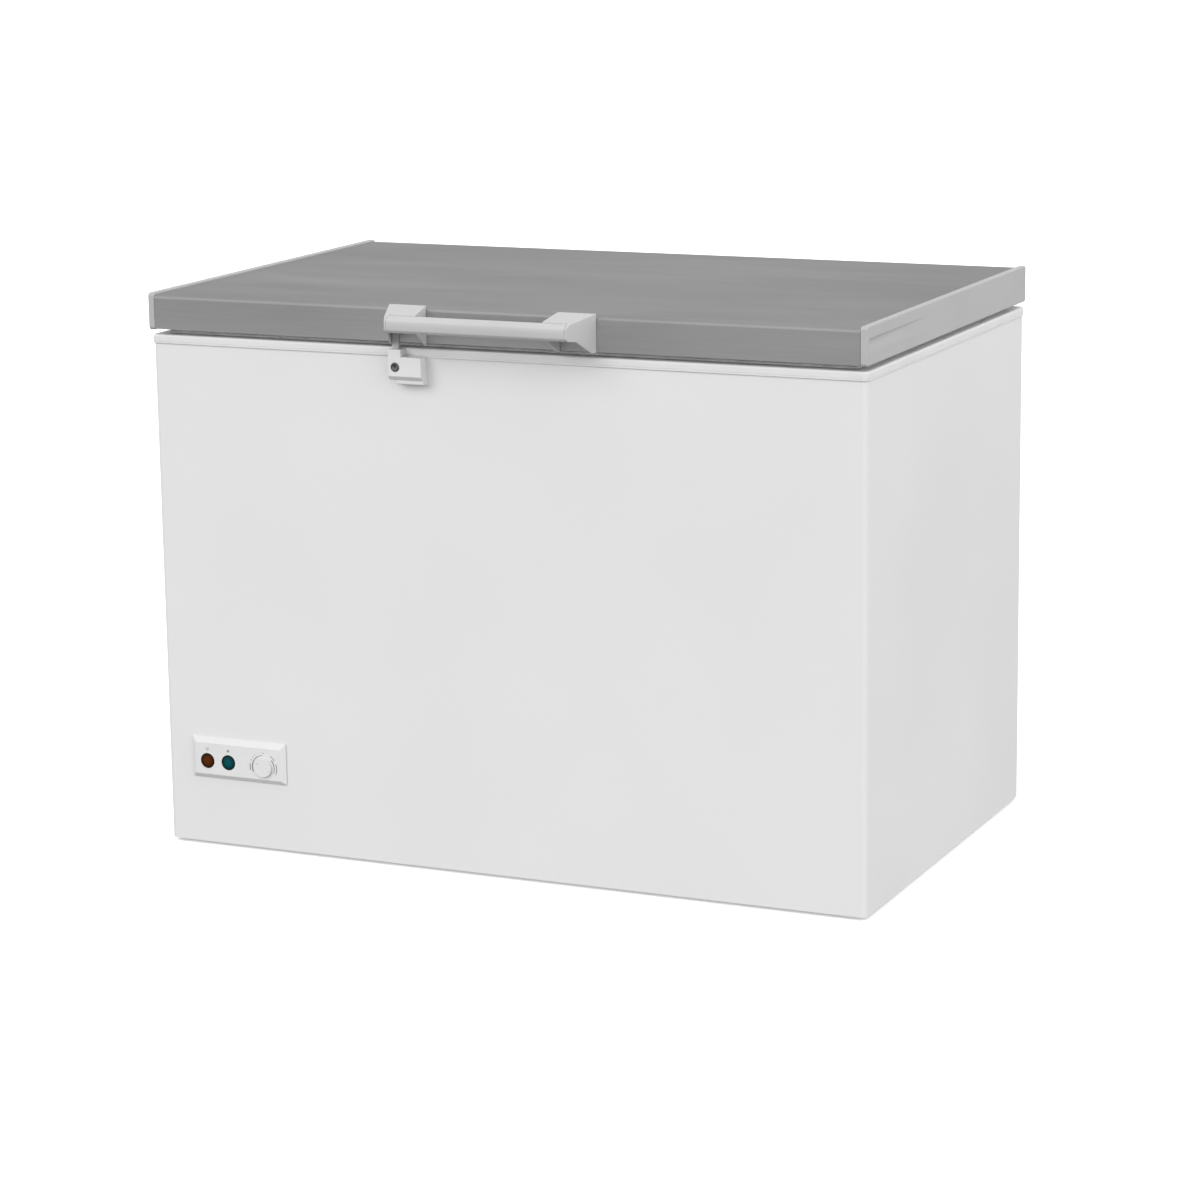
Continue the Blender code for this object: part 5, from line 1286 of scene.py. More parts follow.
@dataclass
class GripHandle:
    """The faceted bar and its two hollow brackets."""

    bracket_edge: float = 0.9 * MM
    section_steps: int = 6

    def build(self) -> list[Object]:
        """Makes the handle's pieces."""
        pieces = [self.bar()]
        for side in ("left", "right"):
            node = f"handle_bracket_{side}"
            bracket = softened(refined(node, f"grip_bracket_{side}"), self.bracket_edge, 3, 24)
            pieces.append(install(bracket, Body.LID, HANDLE_MOULDING, Slot.GREY_PLASTIC, node))
        return pieces

    def bar(self) -> Object:
        """The bar: two facets in front, soft at the top and bottom, flat behind."""
        extent = Extent.of("handle_bar")
        front, back = extent.low.y, extent.high.y
        bottom, top = extent.low.z, extent.high.z
        corners = [
            (back, bottom, 1 * MM),
            (back, top, 1 * MM),
            (front + 7 * MM, top, 3 * MM),
            (front + 1 * MM, top - 6 * MM, 4 * MM),
            (front, (top + bottom) / 2, 0),
            (front + 1.5 * MM, bottom + 4 * MM, 3 * MM),
            (front + 5 * MM, bottom, 3 * MM),
        ]
        outline = rounded(corners, self.section_steps)
        bar = prism("grip_bar", outline, Along.X, extent.low.x, extent.high.x)
        return install(shaded(bar, 30), Body.LID, HANDLE_MOULDING, Slot.GREY_PLASTIC, "handle_bar")


@dataclass
class FrontLock:
    """The lock on the front: housing, keyed barrel with its cam, and the lid's tongue."""

    housing_edge: float = 0.9 * MM
    tongue_edge: float = 0.3 * MM
    lip: float = 1.1 * MM
    dish: float = 0.5 * MM
    key_length: float = 5.2 * MM
    key_width: float = 1.3 * MM

    def build(self) -> list[Object]:
        """Makes the lock's pieces."""
        housing = softened(refined("lock_housing", "latch_housing"), self.housing_edge, 4, 24)
        tongue = softened(refined("lock_tongue", "latch_tongue"), self.tongue_edge, 2)
        cam = softened(refined("lock_cam", "latch_cam"), self.tongue_edge, 2)
        return [
            install(housing, Body.CABINET, WHITE_MOULDING, Slot.WHITE_PLASTIC, "lock_housing"),
            install(tongue, Body.LID, GREY_MOULDING, Slot.GREY_PLASTIC, "lock_tongue"),
            install(cam, Body.LOCK, ZINC, Slot.ZINC, "lock_cam"),
            *self.barrel(),
        ]

    def barrel(self) -> list[Object]:
        """The barrel: a plated rim round a dished face with its keyway, its chrome darkened as painted shade,
        and a black ring as painted shade in the groove between.
        """
        extent = Extent.of("lock_barrel")
        radius = extent.size.x / 2
        length = extent.size.y
        shaft = 2.4 * MM
        place = (extent.centre.x, extent.low.y, extent.centre.z)
        core = radius - self.lip - 0.5 * MM
        profile = [
            (shaft, -length),
            (shaft, -6 * MM),
            (radius, -6 * MM),
            (radius, -0.6 * MM),
            (radius - 0.15 * MM, -0.2 * MM),
            (radius - 0.5 * MM, 0),
            (radius - self.lip + 0.2 * MM, 0),
            (radius - self.lip, -0.2 * MM),
            (radius - self.lip, -1.4 * MM),
            (core, -1.4 * MM),
            (core, -0.35 * MM),
            (core - 0.4 * MM, -0.1 * MM),
            (0.6 * core, -self.dish),
            (0.2 * core, -self.dish - 0.1 * MM),
        ]
        barrel = turned("key_barrel", profile, place, Facing.FRONT, 48)
        bm = bmesh.new()
        shape = Matrix.Diagonal((self.key_width, 8 * MM, self.key_length, 1))
        bmesh.ops.create_cube(bm, size=1, matrix=Matrix.Translation(place) @ shape)
        barrel = combined(barrel, made("cut_key", bm), "DIFFERENCE")
        rim = radius - self.lip
        # painted shade: a black ring fills the bottom of the narrow groove between the rim and the face
        painted_shade_groove = [(core, -1.35 * MM), (rim, -1.35 * MM), (rim, -0.75 * MM), (core, -0.75 * MM)]
        ring = turned_ring("key_barrel_painted_shade_ring", painted_shade_groove, place, Facing.FRONT, 48)
        return [
            # painted shade: the barrel takes the darkened chrome, not the plain chrome of the pins
            install(shaded(barrel, 30), Body.LOCK, PAINTED_SHADE_CHROME, Slot.CHROME, "lock_barrel"),
            install(shaded(ring, 30), Body.LOCK, BLACK_MOULDING, Slot.BLACK_PLASTIC, "lock_barrel"),
        ]


@dataclass(frozen=True)
class Mark:
    """One printed stroke round the dial, between two angles clockwise from the top."""

    radius: float
    start: float
    end: float
    width: float
    tip: float


@dataclass
class ControlPanel:
    """The bevelled panel, its two lamps, and the slotted dial with its printed scale."""

    edge: float = 0.7 * MM
    rim: float = 1.3 * MM
    crown: float = 0.8 * MM
    print_rise: float = 0.08 * MM
    slot_width: float = 2.4 * MM
    slot_depth: float = 1.1 * MM
    slot_slope: float = 28.0
    pictogram_up: float = 17.5 * MM
    marks: tuple[Mark, ...] = (
        Mark(18.8 * MM, -113, -3, 2.1 * MM, 0.7 * MM),
        Mark(18.8 * MM, 48, 112, 1.8 * MM, 1.0 * MM),
        Mark(22.8 * MM, -105, -78, 1.5 * MM, 1.5 * MM),
        Mark(22.8 * MM, -66, -60, 1.2 * MM, 1.2 * MM),
        Mark(22.8 * MM, -53, -49, 1.1 * MM, 1.1 * MM),
        Mark(22.8 * MM, -40, -36, 1.0 * MM, 1.0 * MM),
        Mark(22.8 * MM, -3, 4, 1.3 * MM, 0.6 * MM),
        Mark(22.8 * MM, 34, 57, 1.2 * MM, 1.2 * MM),
        Mark(22.8 * MM, 71, 113, 1.3 * MM, 1.3 * MM),
    )

    def build(self) -> list[Object]:
        """Makes the panel's pieces."""
        bezel = softened(refined("control_panel", "panel_bezel"), self.edge, 4, 24)
        thermostat = softened(refined("thermostat_body", "thermostat_box"), 0.4 * MM, 2)
        pieces = [
            install(bezel, Body.CABINET, WHITE_MOULDING, Slot.WHITE_PLASTIC, "control_panel"),
            install(thermostat, Body.CABINET, ZINC, Slot.ZINC, "thermostat_body"),
            # each lens's second colour is its painted glow, lighter than its edge colour
            *self.lens("amber", Slot.AMBER, (0.020, 0.005, 0.001), (0.085, 0.019, 0.001)),
            *self.lens("green", Slot.GREEN, (0.0005, 0.016, 0.018), (0.0008, 0.068, 0.082)),
            self.dial(),
            *self.scale(),
            *self.pictograms(),
        ]
        dress(BLACK_MOULDING, "amber_lamp", "green_lamp")
        return pieces

    def lens(self, tint: str, slot: Slot, deep: Colour, painted_glow_colour: Colour) -> list[Object]:
        """One round lens in its dark rim.

        Args:
            tint: The lens's colour, as its node is named.
            slot: Its material slot.
            deep: Its colour at the edge.
            painted_glow_colour: Its colour in the middle, painted lighter than the edge as a glow.

        Returns:
            The lens and the rim.
        """
        node = f"{tint}_lens"
        extent = Extent.of(node)
        radius = extent.size.x / 2
        depth = extent.size.y - self.crown
        face = (extent.centre.x, extent.low.y + self.crown, extent.centre.z)
        inner = radius - self.rim
        steps = 7
        dome = [(inner * (1 - s / steps), self.crown * (1 - (1 - s / steps) ** 2)) for s in range(steps)]
        profile = [(0.6 * inner, -depth), (inner, -depth), *dome, (0.02 * inner, self.crown)]
        lens = shaded(turned(f"{tint}_lamp_lens", profile, face, Facing.FRONT, 64), 40)
        ring = [
            (inner + 0.02 * MM, -depth),
            (radius, -depth),
            (radius, -0.2 * MM),
            (radius - 0.3 * MM, 0.15 * MM),
            (radius - 0.8 * MM, 0.15 * MM),
            (inner + 0.02 * MM, -0.1 * MM),
        ]
        rim = shaded(turned_ring(f"{tint}_lamp_rim", ring, face, Facing.FRONT, 64), 40)
        glass = TintedLens(f"{tint} lens", deep, painted_glow_colour, face)
        return [
            install(lens, Body.CABINET, glass, slot, node),
            install(rim, Body.CABINET, GLOSS_BLACK, Slot.BLACK_PLASTIC, node),
        ]

    def dial(self) -> Object:
        """The dial: a low disc with a soft edge and a coin slot."""
        extent = Extent.of("thermostat_dial")
        radius = extent.size.x / 2
        thickness = extent.size.y
        place = Vector((extent.centre.x, extent.high.y, extent.centre.z))
        soft = 0.7 * MM
        turn = [math.radians(90) * step / 5 for step in range(6)]
        edge = [(radius - soft * (1 - math.cos(a)), thickness - soft * (1 - math.sin(a))) for a in turn]
        profile = [(radius, 0), *edge, (0.05 * radius, thickness)]
        dial = turned("control_dial", profile, place, Facing.FRONT, 72)
        reach = 0.8 * radius
        half = self.slot_width / 2
        outline = rounded(rectangle(-reach, reach, -half, half, 0.5 * MM), 4)
        slot = prism("cut_slot", outline, Along.Y, -thickness - self.slot_depth, -thickness + self.slot_depth)
        slope = Matrix.Rotation(math.radians(self.slot_slope), 4, "Y")
        slot.data.transform(Matrix.Translation(place) @ slope)
        bore = turned("cut_bore", [(3 * MM, -1 * MM), (3 * MM, thickness / 2)], place, Facing.FRONT, 32)
        dial = combined(combined(dial, slot, "DIFFERENCE"), bore, "DIFFERENCE")
        return install(
            softened(dial, 0.2 * MM, 2, 40), Body.DIAL, WHITE_MOULDING, Slot.WHITE_PLASTIC, "thermostat_dial"
        )

    def printed(self, name: str, outline: Sequence[Vector]) -> Object:
        """A flat printed shape on the panel's face.

        Args:
            name: The piece's name.
            outline: Its outline in x and z.

        Returns:
            The shape.
        """
        face = Extent.of("amber_lens").low.y + self.crown
        shape = prism(name, outline, Along.Y, face - self.print_rise, face + 2 * self.print_rise)
        return install(shape, Body.CABINET, GREY_INK, Slot.BLACK_PLASTIC)

    def scale(self) -> list[Object]:
        """The printed strokes round the dial."""
        extent = Extent.of("thermostat_dial")
        pieces = []
        for number, mark in enumerate(self.marks, 1):
            steps = max(2, round((mark.end - mark.start) / 4))
            outer, inner = [], []
            for step in range(steps + 1):
                angle = math.radians(mark.start + (mark.end - mark.start) * step / steps)
                half = (mark.width + (mark.tip - mark.width) * step / steps) / 2
                ray = Vector((math.sin(angle), math.cos(angle)))
                middle = Vector((extent.centre.x, extent.centre.z))
                outer.append(middle + ray * (mark.radius + half))
                inner.append(middle + ray * (mark.radius - half))
            pieces.append(self.printed(f"dial_mark_{number}", outer + inner[::-1]))
        return pieces

    def pictograms(self) -> list[Object]:
        """A small plug sign over the amber lens and a frost star over the green one."""
        amber = Extent.of("amber_lens").centre
        green = Extent.of("green_lens").centre
        up = self.pictogram_up
        strokes = [
            ((-1.6, 2.0), (-1.6, 3.2)),
            ((1.6, 2.0), (1.6, 3.2)),
            ((-2.6, 1.8), (2.6, 1.8)),
            ((-2.2, 1.8), (-2.2, 0.2)),
            ((2.2, 1.8), (2.2, 0.2)),
            ((-2.2, 0.2), (2.2, 0.2)),
            ((0, 0.2), (0, -2.4)),
        ]
        pieces = []
        for number, (start, end) in enumerate(strokes, 1):
            ends = [Vector((amber.x + u * MM, amber.z + up + v * MM)) for u, v in (start, end)]
            pieces.append(self.printed(f"sign_plug_{number}", self.stroke(*ends, 0.5 * MM)))
        middle = Vector((green.x, green.z + up + 0.8 * MM))
        for spoke in range(4):
            arm = Matrix.Rotation(math.radians(45 * spoke), 2) @ Vector((0, 2.5 * MM))
            line = self.stroke(middle - arm, middle + arm, 0.45 * MM)
            pieces.append(self.printed(f"sign_frost_{spoke + 1}", line))
        reach = Vector((0, 1.3 * MM))
        hub = [middle + Matrix.Rotation(math.tau * step / 12, 2) @ reach for step in range(12)]
        pieces.append(self.printed("sign_frost_hub", hub))
        return pieces

    def stroke(self, start: Vector, end: Vector, width: float) -> list[Vector]:
        """A straight printed stroke's outline.

        Args:
            start: Where it starts.
            end: Where it ends.
            width: How wide it is.

        Returns:
            Its four corners.
        """
        across = (end - start).orthogonal().normalized() * (width / 2)
        return [start - across, end - across, end + across, start + across]


@dataclass
class BasketWires:
    """The hanging basket: a heavy rim, crossing wires and level hoops."""

    rim_wire: float = 5 * MM
    mesh_wire: float = 2.6 * MM
    body_inset: float = 11 * MM
    taper: float = 24 * MM
    corner: float = 14 * MM
    across: int = 9
    lengthwise: int = 19
    hoops: tuple[float, ...] = (0.10, 0.38, 0.68)

    def build(self) -> list[Object]:
        """Makes the basket."""
        extent = Extent.of("wire_basket")
        rim = wires("basket_rim", [(self.rim(extent), True)], self.rim_wire)
        mesh = wires("basket_mesh", self.mesh(extent), self.mesh_wire)
        return [
            install(piece, Body.BASKET, WIRE_COAT, Slot.BASKET, "wire_basket") for piece in (rim, mesh)
        ]

    def rim(self, extent: Extent) -> list[Vector]:
        """The rim's route.

        Args:
            extent: The basket's extent.

        Returns:
            A closed route.
        """
        half = self.rim_wire / 2
        return Frame(extent.low, extent.high).ring(half, extent.high.z - half, self.corner, 8)

    def mesh(self, extent: Extent) -> list[tuple[Sequence[Vector], bool]]:
        """Routes of the body's wires.

        Args:
            extent: The basket's extent.

        Returns:
            Each route, and whether it closes.
        """
        half = self.mesh_wire / 2
        high = extent.high.z - self.rim_wire / 2
        low = extent.low.z + half
        top = self.body_inset + half
        base = top + self.taper
        around = Frame(extent.low, extent.high)
        routes = [(around.ring(base + (top - base) * up, low + (high - low) * up, self.corner, 6), True)
                  for up in self.hoops]
        hook = self.rim_wire / 2
        for number in range(self.across):
            share = (number + 0.5) / self.across
            lean = Vector((extent.low.x + top + share * (extent.size.x - 2 * top), 0, 0))
            foot = Vector((extent.low.x + base + share * (extent.size.x - 2 * base), 0, 0))
            near, far = extent.low.y, extent.high.y
            corners = [
                (lean.x, near + hook, high), (lean.x, near + top, high), (foot.x, near + base, low),
                (foot.x, far - base, low), (lean.x, far - top, high), (lean.x, far - hook, high),
            ]
            routes.append((bent(corners, 5 * MM), False))
        for number in range(self.lengthwise):
            share = (number + 0.5) / self.lengthwise
            lean_y = extent.low.y + top + share * (extent.size.y - 2 * top)
            foot_y = extent.low.y + base + share * (extent.size.y - 2 * base)
            near, far = extent.low.x, extent.high.x
            corners = [
                (near + hook, lean_y, high), (near + top, lean_y, high), (near + base, foot_y, low),
                (far - base, foot_y, low), (far - top, lean_y, high), (far - hook, lean_y, high),
            ]
            routes.append((bent(corners, 5 * MM), False))
        return routes


@dataclass
class TubFittings:
    """The tub's liner, its hidden tubes, and the drain with its plug."""

    bore: float = 8.5 * MM
    tube: float = 11 * MM

    def build(self) -> list[Object]:
        """Makes the tub's pieces."""
        liner = shaded(refined("inner_liner", "tub_liner"), 50)
        dress(ALUMINIUM, "evaporator_tube")
        dress(COPPER, "condenser_tube")
        return [
            install(liner, Body.CABINET, TUB_SHEET, Slot.LINER, "inner_liner"),
            self.drain(),
            self.plug(),
        ]

    def drain(self) -> Object:
        """The drain tube with a softly dished flange."""
        extent = Extent.of("drain_tube")
        flange = extent.size.x / 2
        top = extent.high.z
        profile = [
            (self.bore, extent.low.z),
            (self.tube, extent.low.z),
            (self.tube, top - 2.7 * MM),
            (flange, top - 2.7 * MM),
            (flange, top - 1.6 * MM),
            (flange - 0.5 * MM, top - 0.6 * MM),
            (flange - 1.6 * MM, top),
            (self.bore + 1 * MM, top),
            (self.bore + 0.2 * MM, top - 0.3 * MM),
            (self.bore, top - 1 * MM),
        ]
        ring = turned_ring("drain_spout", profile, (extent.centre.x, extent.centre.y, 0), Facing.UP, 56)
        return install(shaded(ring, 30), Body.CABINET, WHITE_MOULDING, Slot.WHITE_PLASTIC, "drain_tube")

    def plug(self) -> Object:
        """The rubber plug: ribbed stem, thin brim and a waisted knob."""
        extent = Extent.of("drain_plug")
        brim = extent.size.x / 2
        seat = Extent.of("drain_tube").high.z + 0.3 * MM
        stem = self.bore - 0.3 * MM
        top = extent.high.z
        low = extent.low.z
        profile = [(0.80 * stem, low), (0.90 * stem, low + 0.8 * MM), (0.93 * stem, low + 3 * MM)]
        for rib in range(3):
            start = low + (4 + 3 * rib) * MM
            profile += [(0.93 * stem, start), (stem, start + 0.8 * MM), (0.93 * stem, start + 1.6 * MM)]
        profile += [
            (0.93 * stem, seat),
            (brim - 0.4 * MM, seat),
            (brim, seat + 0.8 * MM),
            (brim - 0.3 * MM, seat + 2.2 * MM),
            (brim - 1.5 * MM, seat + 3 * MM),
            (6 * MM, seat + 3.6 * MM),
            (4.6 * MM, seat + 4.6 * MM),
            (4.4 * MM, seat + 8 * MM),
            (5.4 * MM, seat + 10.5 * MM),
            (6.4 * MM, seat + 12 * MM),
            (6.5 * MM, top - 0.9 * MM),
            (5.8 * MM, top - 0.2 * MM),
            (4.5 * MM, top),
        ]
        plug = turned("drain_stopper", profile, (extent.centre.x, extent.centre.y, 0), Facing.UP, 48)
        return install(shaded(plug, 40), Body.PLUG, BLACK_RUBBER, Slot.RUBBER, "drain_plug")


@dataclass
class CompressorBay:
    """What stands in the bay: pot, plate, mounts, relay, drier, pipe and shroud."""

    mounts: int = 4

    def build(self) -> list[Object]:
        """Makes the bay's pieces."""
        shroud = softened(refined("bay_shroud", "bay_cover"), 0.25 * MM, 2)
        plate = softened(refined("compressor_base_plate", "pot_plate"), 1 * MM, 3)
        pipe = shaded(refined("discharge_pipe", "hot_gas_pipe"), 60)
        return [
            install(shroud, Body.CABINET, ZINC, Slot.ZINC, "bay_shroud"),
            install(plate, Body.CABINET, BLACK_ENAMEL, Slot.ENAMEL, "compressor_base_plate"),
            install(pipe, Body.CABINET, COPPER, Slot.COPPER, "discharge_pipe"),
            self.pot(),
            self.relay(),
            self.drier(),
            *(self.mount(number) for number in range(1, self.mounts + 1)),
        ]

    def pot(self) -> Object:
        """The pot: two drawn halves that meet in a welded seam."""
        extent = Extent.of("compressor_shell")
        seam = extent.size.x / 2
        radius = seam / 1.03
        height = extent.size.z
        lower = [(radius * (1 - (1 - s / 6) ** 2 * 0.55), 0.22 * height * (s / 6) ** 1.6) for s in range(7)]
        upper = [
            (0.98 * radius * math.cos(a) ** 0.55, height * (0.62 + 0.38 * math.sin(a)))
            for a in [math.radians(80) * s / 9 for s in range(10)]
        ]
        band = [
            (radius, 0.495 * height),
            (1.02 * radius, 0.51 * height),
            (seam, 0.525 * height),
            (seam, 0.545 * height),
            (1.01 * radius, 0.56 * height),
            (0.98 * radius, 0.575 * height),
        ]
        profile = [*lower, *band, *upper, (0.1 * radius, height)]
        place = (extent.centre.x, extent.centre.y, extent.low.z)
        pot = turned("compressor_pot", profile, place, Facing.UP, 72)
        return install(shaded(pot, 40), Body.CABINET, BLACK_ENAMEL, Slot.ENAMEL, "compressor_shell")

    def relay(self) -> Object:
        """The relay's box under its snap-on cover."""
        extent = Extent.of("start_relay")
        outline = rounded(rectangle(extent.low.x, extent.high.x, extent.low.z, extent.high.z, 4 * MM), 6)
        box = softened(prism("relay_box", outline, Along.Y, extent.low.y, extent.high.y), 1.4 * MM, 4, 50)
        split = extent.low.y + 0.6 * extent.size.y
        wide = rounded(
            rectangle(extent.low.x - MM, extent.high.x + MM, extent.low.z - MM, extent.high.z + MM, 4 * MM), 6
        )
        deep = 0.8 * MM
        low_x, high_x = extent.low.x + deep, extent.high.x - deep
        slim = rounded(rectangle(low_x, high_x, extent.low.z + deep, extent.high.z - deep, 3 * MM), 6)
        groove = prism("cut_groove", wide, Along.Y, split, split + 1.2 * MM)
        groove = combined(groove, prism("cut_core", slim, Along.Y, split - MM, split + 3 * MM), "DIFFERENCE")
        box = combined(box, groove, "DIFFERENCE")
        return install(shaded(box, 32), Body.CABINET, BLACK_MOULDING, Slot.BLACK_PLASTIC, "start_relay")

    def drier(self) -> Object:
        """The spun copper drier, with a rolled groove near each shoulder."""
        extent = Extent.of("filter_drier")
        radius = extent.size.x / 2
        length = extent.size.z
        neck = 0.3 * radius
        spun = [math.radians(90) * s / 6 for s in range(7)]
        flare = radius - neck
        low_end = [(neck + flare * math.sin(a), length * (0.10 + 0.12 * (1 - math.cos(a)))) for a in spun]
        high_end = [(neck + flare * math.cos(a), length * (0.80 + 0.12 * math.sin(a))) for a in spun]
        grooves = [
            (share, depth)
            for middle in (0.30, 0.72)
            for share, depth in ((middle - 0.012, 0), (middle, 0.9 * MM), (middle + 0.012, 0))
        ]
        body = [(radius - depth, length * share) for share, depth in grooves]
        profile = [(neck, 0), *low_end, *body, *high_end, (neck, length)]
        place = (extent.centre.x, extent.centre.y, extent.low.z)
        drier = turned("spun_drier", profile, place, Facing.UP, 40)
        return install(shaded(drier, 40), Body.CABINET, COPPER, Slot.COPPER, "filter_drier")

    def mount(self, number: int) -> Object:
        """One waisted rubber mount.

        Args:
            number: Which of them it is.

        Returns:
            The mount.
        """
        node = f"compressor_mount_{number}"
        extent = Extent.of(node)
        radius = extent.size.x / 2
        height = extent.size.z
        steps = 12
        profile = []
        for step in range(steps + 1):
            share = step / steps
            waist = 0.26 * math.sin(math.pi * share) + 0.05 * math.sin(3 * math.pi * share) ** 2
            profile.append((radius * (1 - waist), height * share))
        place = (extent.centre.x, extent.centre.y, extent.low.z)
        bush = turned(f"pot_mount_{number}", profile, place, Facing.UP, 40)
        return install(shaded(bush, 50), Body.CABINET, BLACK_RUBBER, Slot.RUBBER, node)


@dataclass
class BackFittings:
    """The grille, the cable gland, and the two sprung hinges with their screws."""

    plate_edge: float = 0.5 * MM
    spring_wire: float = 2.2 * MM
    spring_steps: int = 28

    def build(self) -> list[Object]:
        """Makes the pieces on the back."""
        grille = softened(refined("vent_grille", "bay_grille"), 0.4 * MM, 2)
        pieces = [
            install(grille, Body.CABINET, WHITE_MOULDING, Slot.WHITE_PLASTIC, "vent_grille"),
            self.gland(),
        ]
        for side in ("left", "right"):
            pieces += self.hinge(side)
        return pieces

    def gland(self) -> Object:
        """The cable gland: a stepped collar with three finger grooves."""
        extent = Extent.of("cable_gland")
        radius = extent.size.x / 2
        neck = 0.7 * radius
        bore = 4 * MM
        seat = Extent.of("back_panel").high.y + 0.3 * MM
        start = extent.low.y - seat
        out = extent.high.y - seat
        profile = [
            (bore, start),
            (neck - 0.3 * MM, start),
            (neck, start + 0.5 * MM),
            (neck, 0.2 * MM),
            (radius, 0.2 * MM),
            (radius, 2.6 * MM),
            (radius - 0.5 * MM, 3.6 * MM),
            (radius - 1.4 * MM, 4 * MM),
            (0.84 * radius, 5.2 * MM),
            (0.88 * radius, 6.2 * MM),
            (0.78 * radius, 7 * MM),
            (0.82 * radius, 8 * MM),
            (0.73 * radius, 8.8 * MM),
            (0.74 * radius, out - 1 * MM),
            (neck - 0.8 * MM, out),
            (bore + 0.5 * MM, out),
            (bore, out - 0.5 * MM),
        ]
        ring = turned_ring("cord_gland", profile, (extent.centre.x, seat, extent.centre.z), Facing.BACK, 48)
        return install(shaded(ring, 35), Body.CABINET, BLACK_MOULDING, Slot.BLACK_PLASTIC, "cable_gland")

    def hinge(self, side: str) -> list[Object]:
        """One hinge: base, arm, pin, spring and screws.

        Args:
            side: Which side it is on.

        Returns:
            Its pieces.
        """
        base = softened(refined(f"hinge_base_{side}", f"pivot_base_{side}"), self.plate_edge, 3, 40)
        arm = softened(refined(f"hinge_arm_{side}", f"pivot_arm_{side}"), self.plate_edge, 3, 40)
        pieces = [
            install(base, Body.CABINET, ZINC, Slot.ZINC, f"hinge_base_{side}"),
            install(arm, Body.LID, ZINC, Slot.ZINC, f"hinge_arm_{side}"),
            self.pin(side),
            self.spring(side),
        ]
        for height in ("lower", "upper"):
            node = f"hinge_screw_{side}_{height}"
            extent = Extent.of(node)
            seat = Vector((extent.centre.x, extent.low.y, extent.centre.z))
            screw = cross_screw(f"pivot_screw_{side}_{height}", seat, extent.size.x / 2, extent.size.y)
            pieces.append(install(screw, Body.CABINET, ZINC, Slot.ZINC, node))
        return pieces

    def pin(self, side: str) -> Object:
        """A hinge pin with a domed head and a chamfered tip.

        Args:
            side: Which side it is on.

        Returns:
            The pin.
        """
        node = f"hinge_pin_{side}"
        extent = Extent.of(node)
        head = extent.size.z / 2
        radius = head / 1.6
        length = extent.size.x
        profile = [
            (0.55 * head, 0),
            (0.85 * head, 0.25 * MM),
            (0.98 * head, 0.9 * MM),
            (head, 1.5 * MM),
            (head, 2.7 * MM),
            (radius, 2.7 * MM),
            (radius, length - 1.2 * MM),
            (0.72 * radius, length - 0.2 * MM),
            (0.5 * radius, length),
        ]
        place = (extent.low.x, extent.centre.y, extent.centre.z)
        pin = turned(f"pivot_pin_{side}", profile, place, Facing.RIGHT, 40)
        return install(shaded(pin, 35), Body.CABINET, CHROME, Slot.CHROME, node)

    def spring(self, side: str) -> Object:
        """The coil round the pin, its tail down against the base.

        Args:
            side: Which side it is on.

        Returns:
            The spring.
        """
        node = f"hinge_spring_{side}"
        extent = Extent.of(node)
        pin = Extent.of(f"hinge_pin_{side}").centre
        half = self.spring_wire / 2
        radius = extent.high.y - half - pin.y
        low, high = extent.low.x + half, extent.high.x - half
        count = 4 * self.spring_steps
        route = []
        for index in range(count + 1):
            angle = math.tau * index / self.spring_steps
            x = low + (high - low) * index / count
            route.append(Vector((x, pin.y + radius * math.cos(angle), pin.z + radius * math.sin(angle))))
        route.append(Vector((high, pin.y + radius, extent.low.z + half)))
        coil = wires(f"pivot_spring_{side}", [(route, False)], self.spring_wire)
        return install(coil, Body.CABINET, CHROME, Slot.CHROME, node)


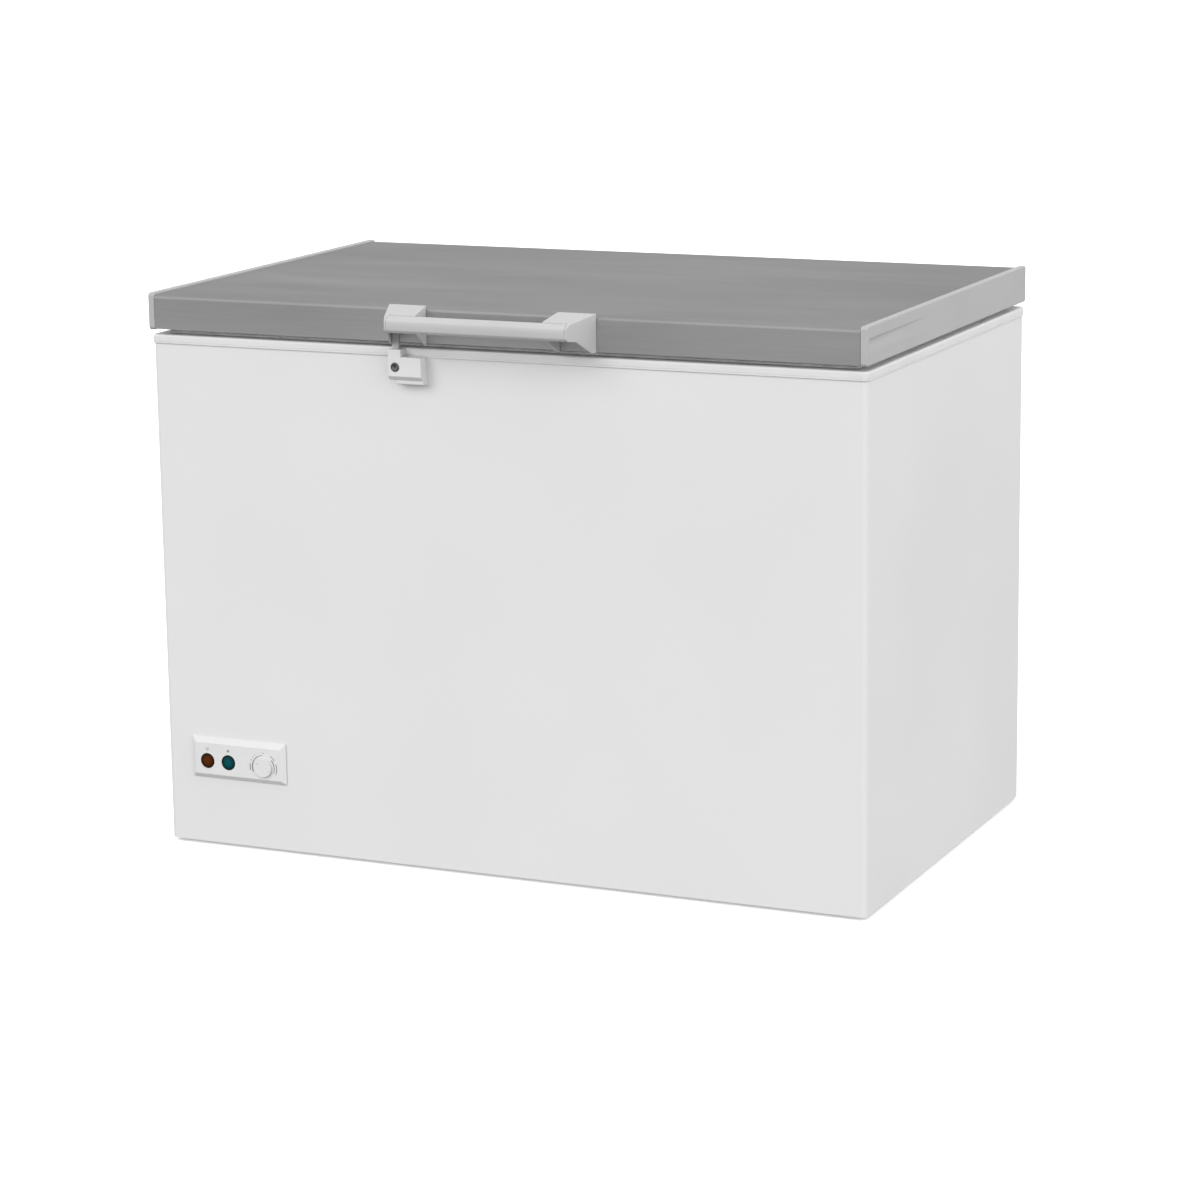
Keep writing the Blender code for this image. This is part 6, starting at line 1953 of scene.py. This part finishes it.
# ---------------------------------------------------------------- studio
@dataclass
class Studio:
    """A white studio: a wide pale floor, soft light from all round, and the camera."""

    floor_radius: float = 80.0
    sky: tuple[tuple[float, float], ...] = (
        (0.0, 0.14),
        (0.30, 0.20),
        (0.46, 0.60),
        (0.60, 0.82),
        (1.0, 0.36),
    )
    key: float = 1.6
    key_spread: float = 40.0
    key_toward: tuple[float, float, float] = (0.55, 0.85, -0.60)
    fill: float = 2.3
    fill_spread: float = 120.0
    fill_toward: tuple[float, float, float] = (-0.95, 0.12, -0.20)
    back: float = 0.9
    back_toward: tuple[float, float, float] = (0.30, -0.95, -0.10)
    azimuth: float = 24.4327
    elevation: float = 12.1687
    roll: float = -0.7918
    place: tuple[float, float, float] = (2.2429, -4.9518, 1.5415)
    lens: float = 110.78

    def build(self) -> list[Object]:
        """Makes the floor, the lights and the camera."""
        pieces = [
            self.floor(),
            self.light("key_light", self.key, self.key_spread, self.key_toward),
            self.light("fill_light", self.fill, self.fill_spread, self.fill_toward),
            self.light("back_light", self.back, self.fill_spread, self.back_toward),
            self.camera(),
        ]
        self.world()
        scene = bpy.context.scene
        scene.view_settings.view_transform = "Standard"
        return pieces

    def floor(self) -> Object:
        """A wide disc just under the feet."""
        drop = -0.2 * MM
        profile = [(self.floor_radius, drop - 10 * MM), (self.floor_radius, drop), (0.001, drop)]
        floor = turned("studio_floor", profile, (0, 0, 0), Facing.UP, 96)
        floor.data.materials.append(PAPER.material())
        floor.visible_diffuse = False
        floor.visible_glossy = False
        return floor

    def light(self, name: str, energy: float, spread: float, toward: tuple[float, float, float]) -> Object:
        """A broad soft light.

        Args:
            name: The light's name.
            energy: How strong it is.
            spread: How wide it looks, in degrees.
            toward: The direction it shines in.

        Returns:
            The light.
        """
        lamp = bpy.data.lights.new(name, "SUN")
        lamp.energy = energy
        lamp.angle = math.radians(spread)
        light = bpy.data.objects.new(name, lamp)
        light.rotation_euler = Vector(toward).to_track_quat("-Z", "Y").to_euler()
        light.visible_glossy = False
        bpy.context.scene.collection.objects.link(light)
        return light

    def world(self) -> None:
        """White walls that dim towards the ceiling and below the horizon."""
        world = bpy.data.worlds.new("white_walls")
        world.use_nodes = True
        tree = world.node_tree
        place = tree.nodes.new("ShaderNodeTexCoord")
        split = tree.nodes.new("ShaderNodeSeparateXYZ")
        height = tree.nodes.new("ShaderNodeMapRange")
        height.inputs["From Min"].default_value = -1
        ramp = tree.nodes.new("ShaderNodeFloatCurve")
        curve = ramp.mapping.curves[0]
        peak = max(level for _, level in self.sky)
        curve.points[0].location = (0, self.sky[0][1] / peak)
        curve.points[1].location = (1, self.sky[-1][1] / peak)
        for share, level in self.sky[1:-1]:
            curve.points.new(share, level / peak)
        ramp.mapping.update()
        background = tree.nodes["Background"]
        background.inputs["Strength"].default_value = peak
        tree.links.new(place.outputs["Generated"], split.inputs["Vector"])
        tree.links.new(split.outputs["Z"], height.inputs["Value"])
        tree.links.new(height.outputs["Result"], ramp.inputs["Value"])
        tree.links.new(ramp.outputs["Value"], background.inputs["Color"])
        bpy.context.scene.world = world

    def camera(self) -> Object:
        """The camera, low on the right of the front."""
        around = math.radians(self.azimuth)
        rise = math.radians(self.elevation)
        tilt = math.radians(self.roll)
        back = Vector((math.sin(around) * math.cos(rise), -math.cos(around) * math.cos(rise), math.sin(rise)))
        level = Vector((0, 0, 1)).cross(back).normalized()
        upright = back.cross(level)
        right = math.cos(tilt) * level + math.sin(tilt) * upright
        up = math.cos(tilt) * upright - math.sin(tilt) * level
        data = bpy.data.cameras.new("studio_camera")
        data.lens = self.lens
        data.sensor_width = 36
        data.clip_end = 400
        camera = bpy.data.objects.new("studio_camera", data)
        camera.matrix_world = Matrix.Translation(self.place) @ Matrix((right, up, back)).transposed().to_4x4()
        bpy.context.scene.collection.objects.link(camera)
        bpy.context.scene.camera = camera
        return camera


def main() -> None:
    """Builds each sub-assembly in turn and reports it."""
    logging.basicConfig(level=logging.INFO, format="%(name)s: %(message)s")
    assemblies = (
        CabinetShell(),
        CollarTrim(),
        LidPanel(),
        GripHandle(),
        FrontLock(),
        ControlPanel(),
        BasketWires(),
        TubFittings(),
        CompressorBay(),
        BackFittings(),
        Studio(),
    )
    for assembly in assemblies:
        pieces = assembly.build()
        log.info("%s: %d pieces", type(assembly).__name__, len(pieces))


if __name__ == "__main__":
    main()
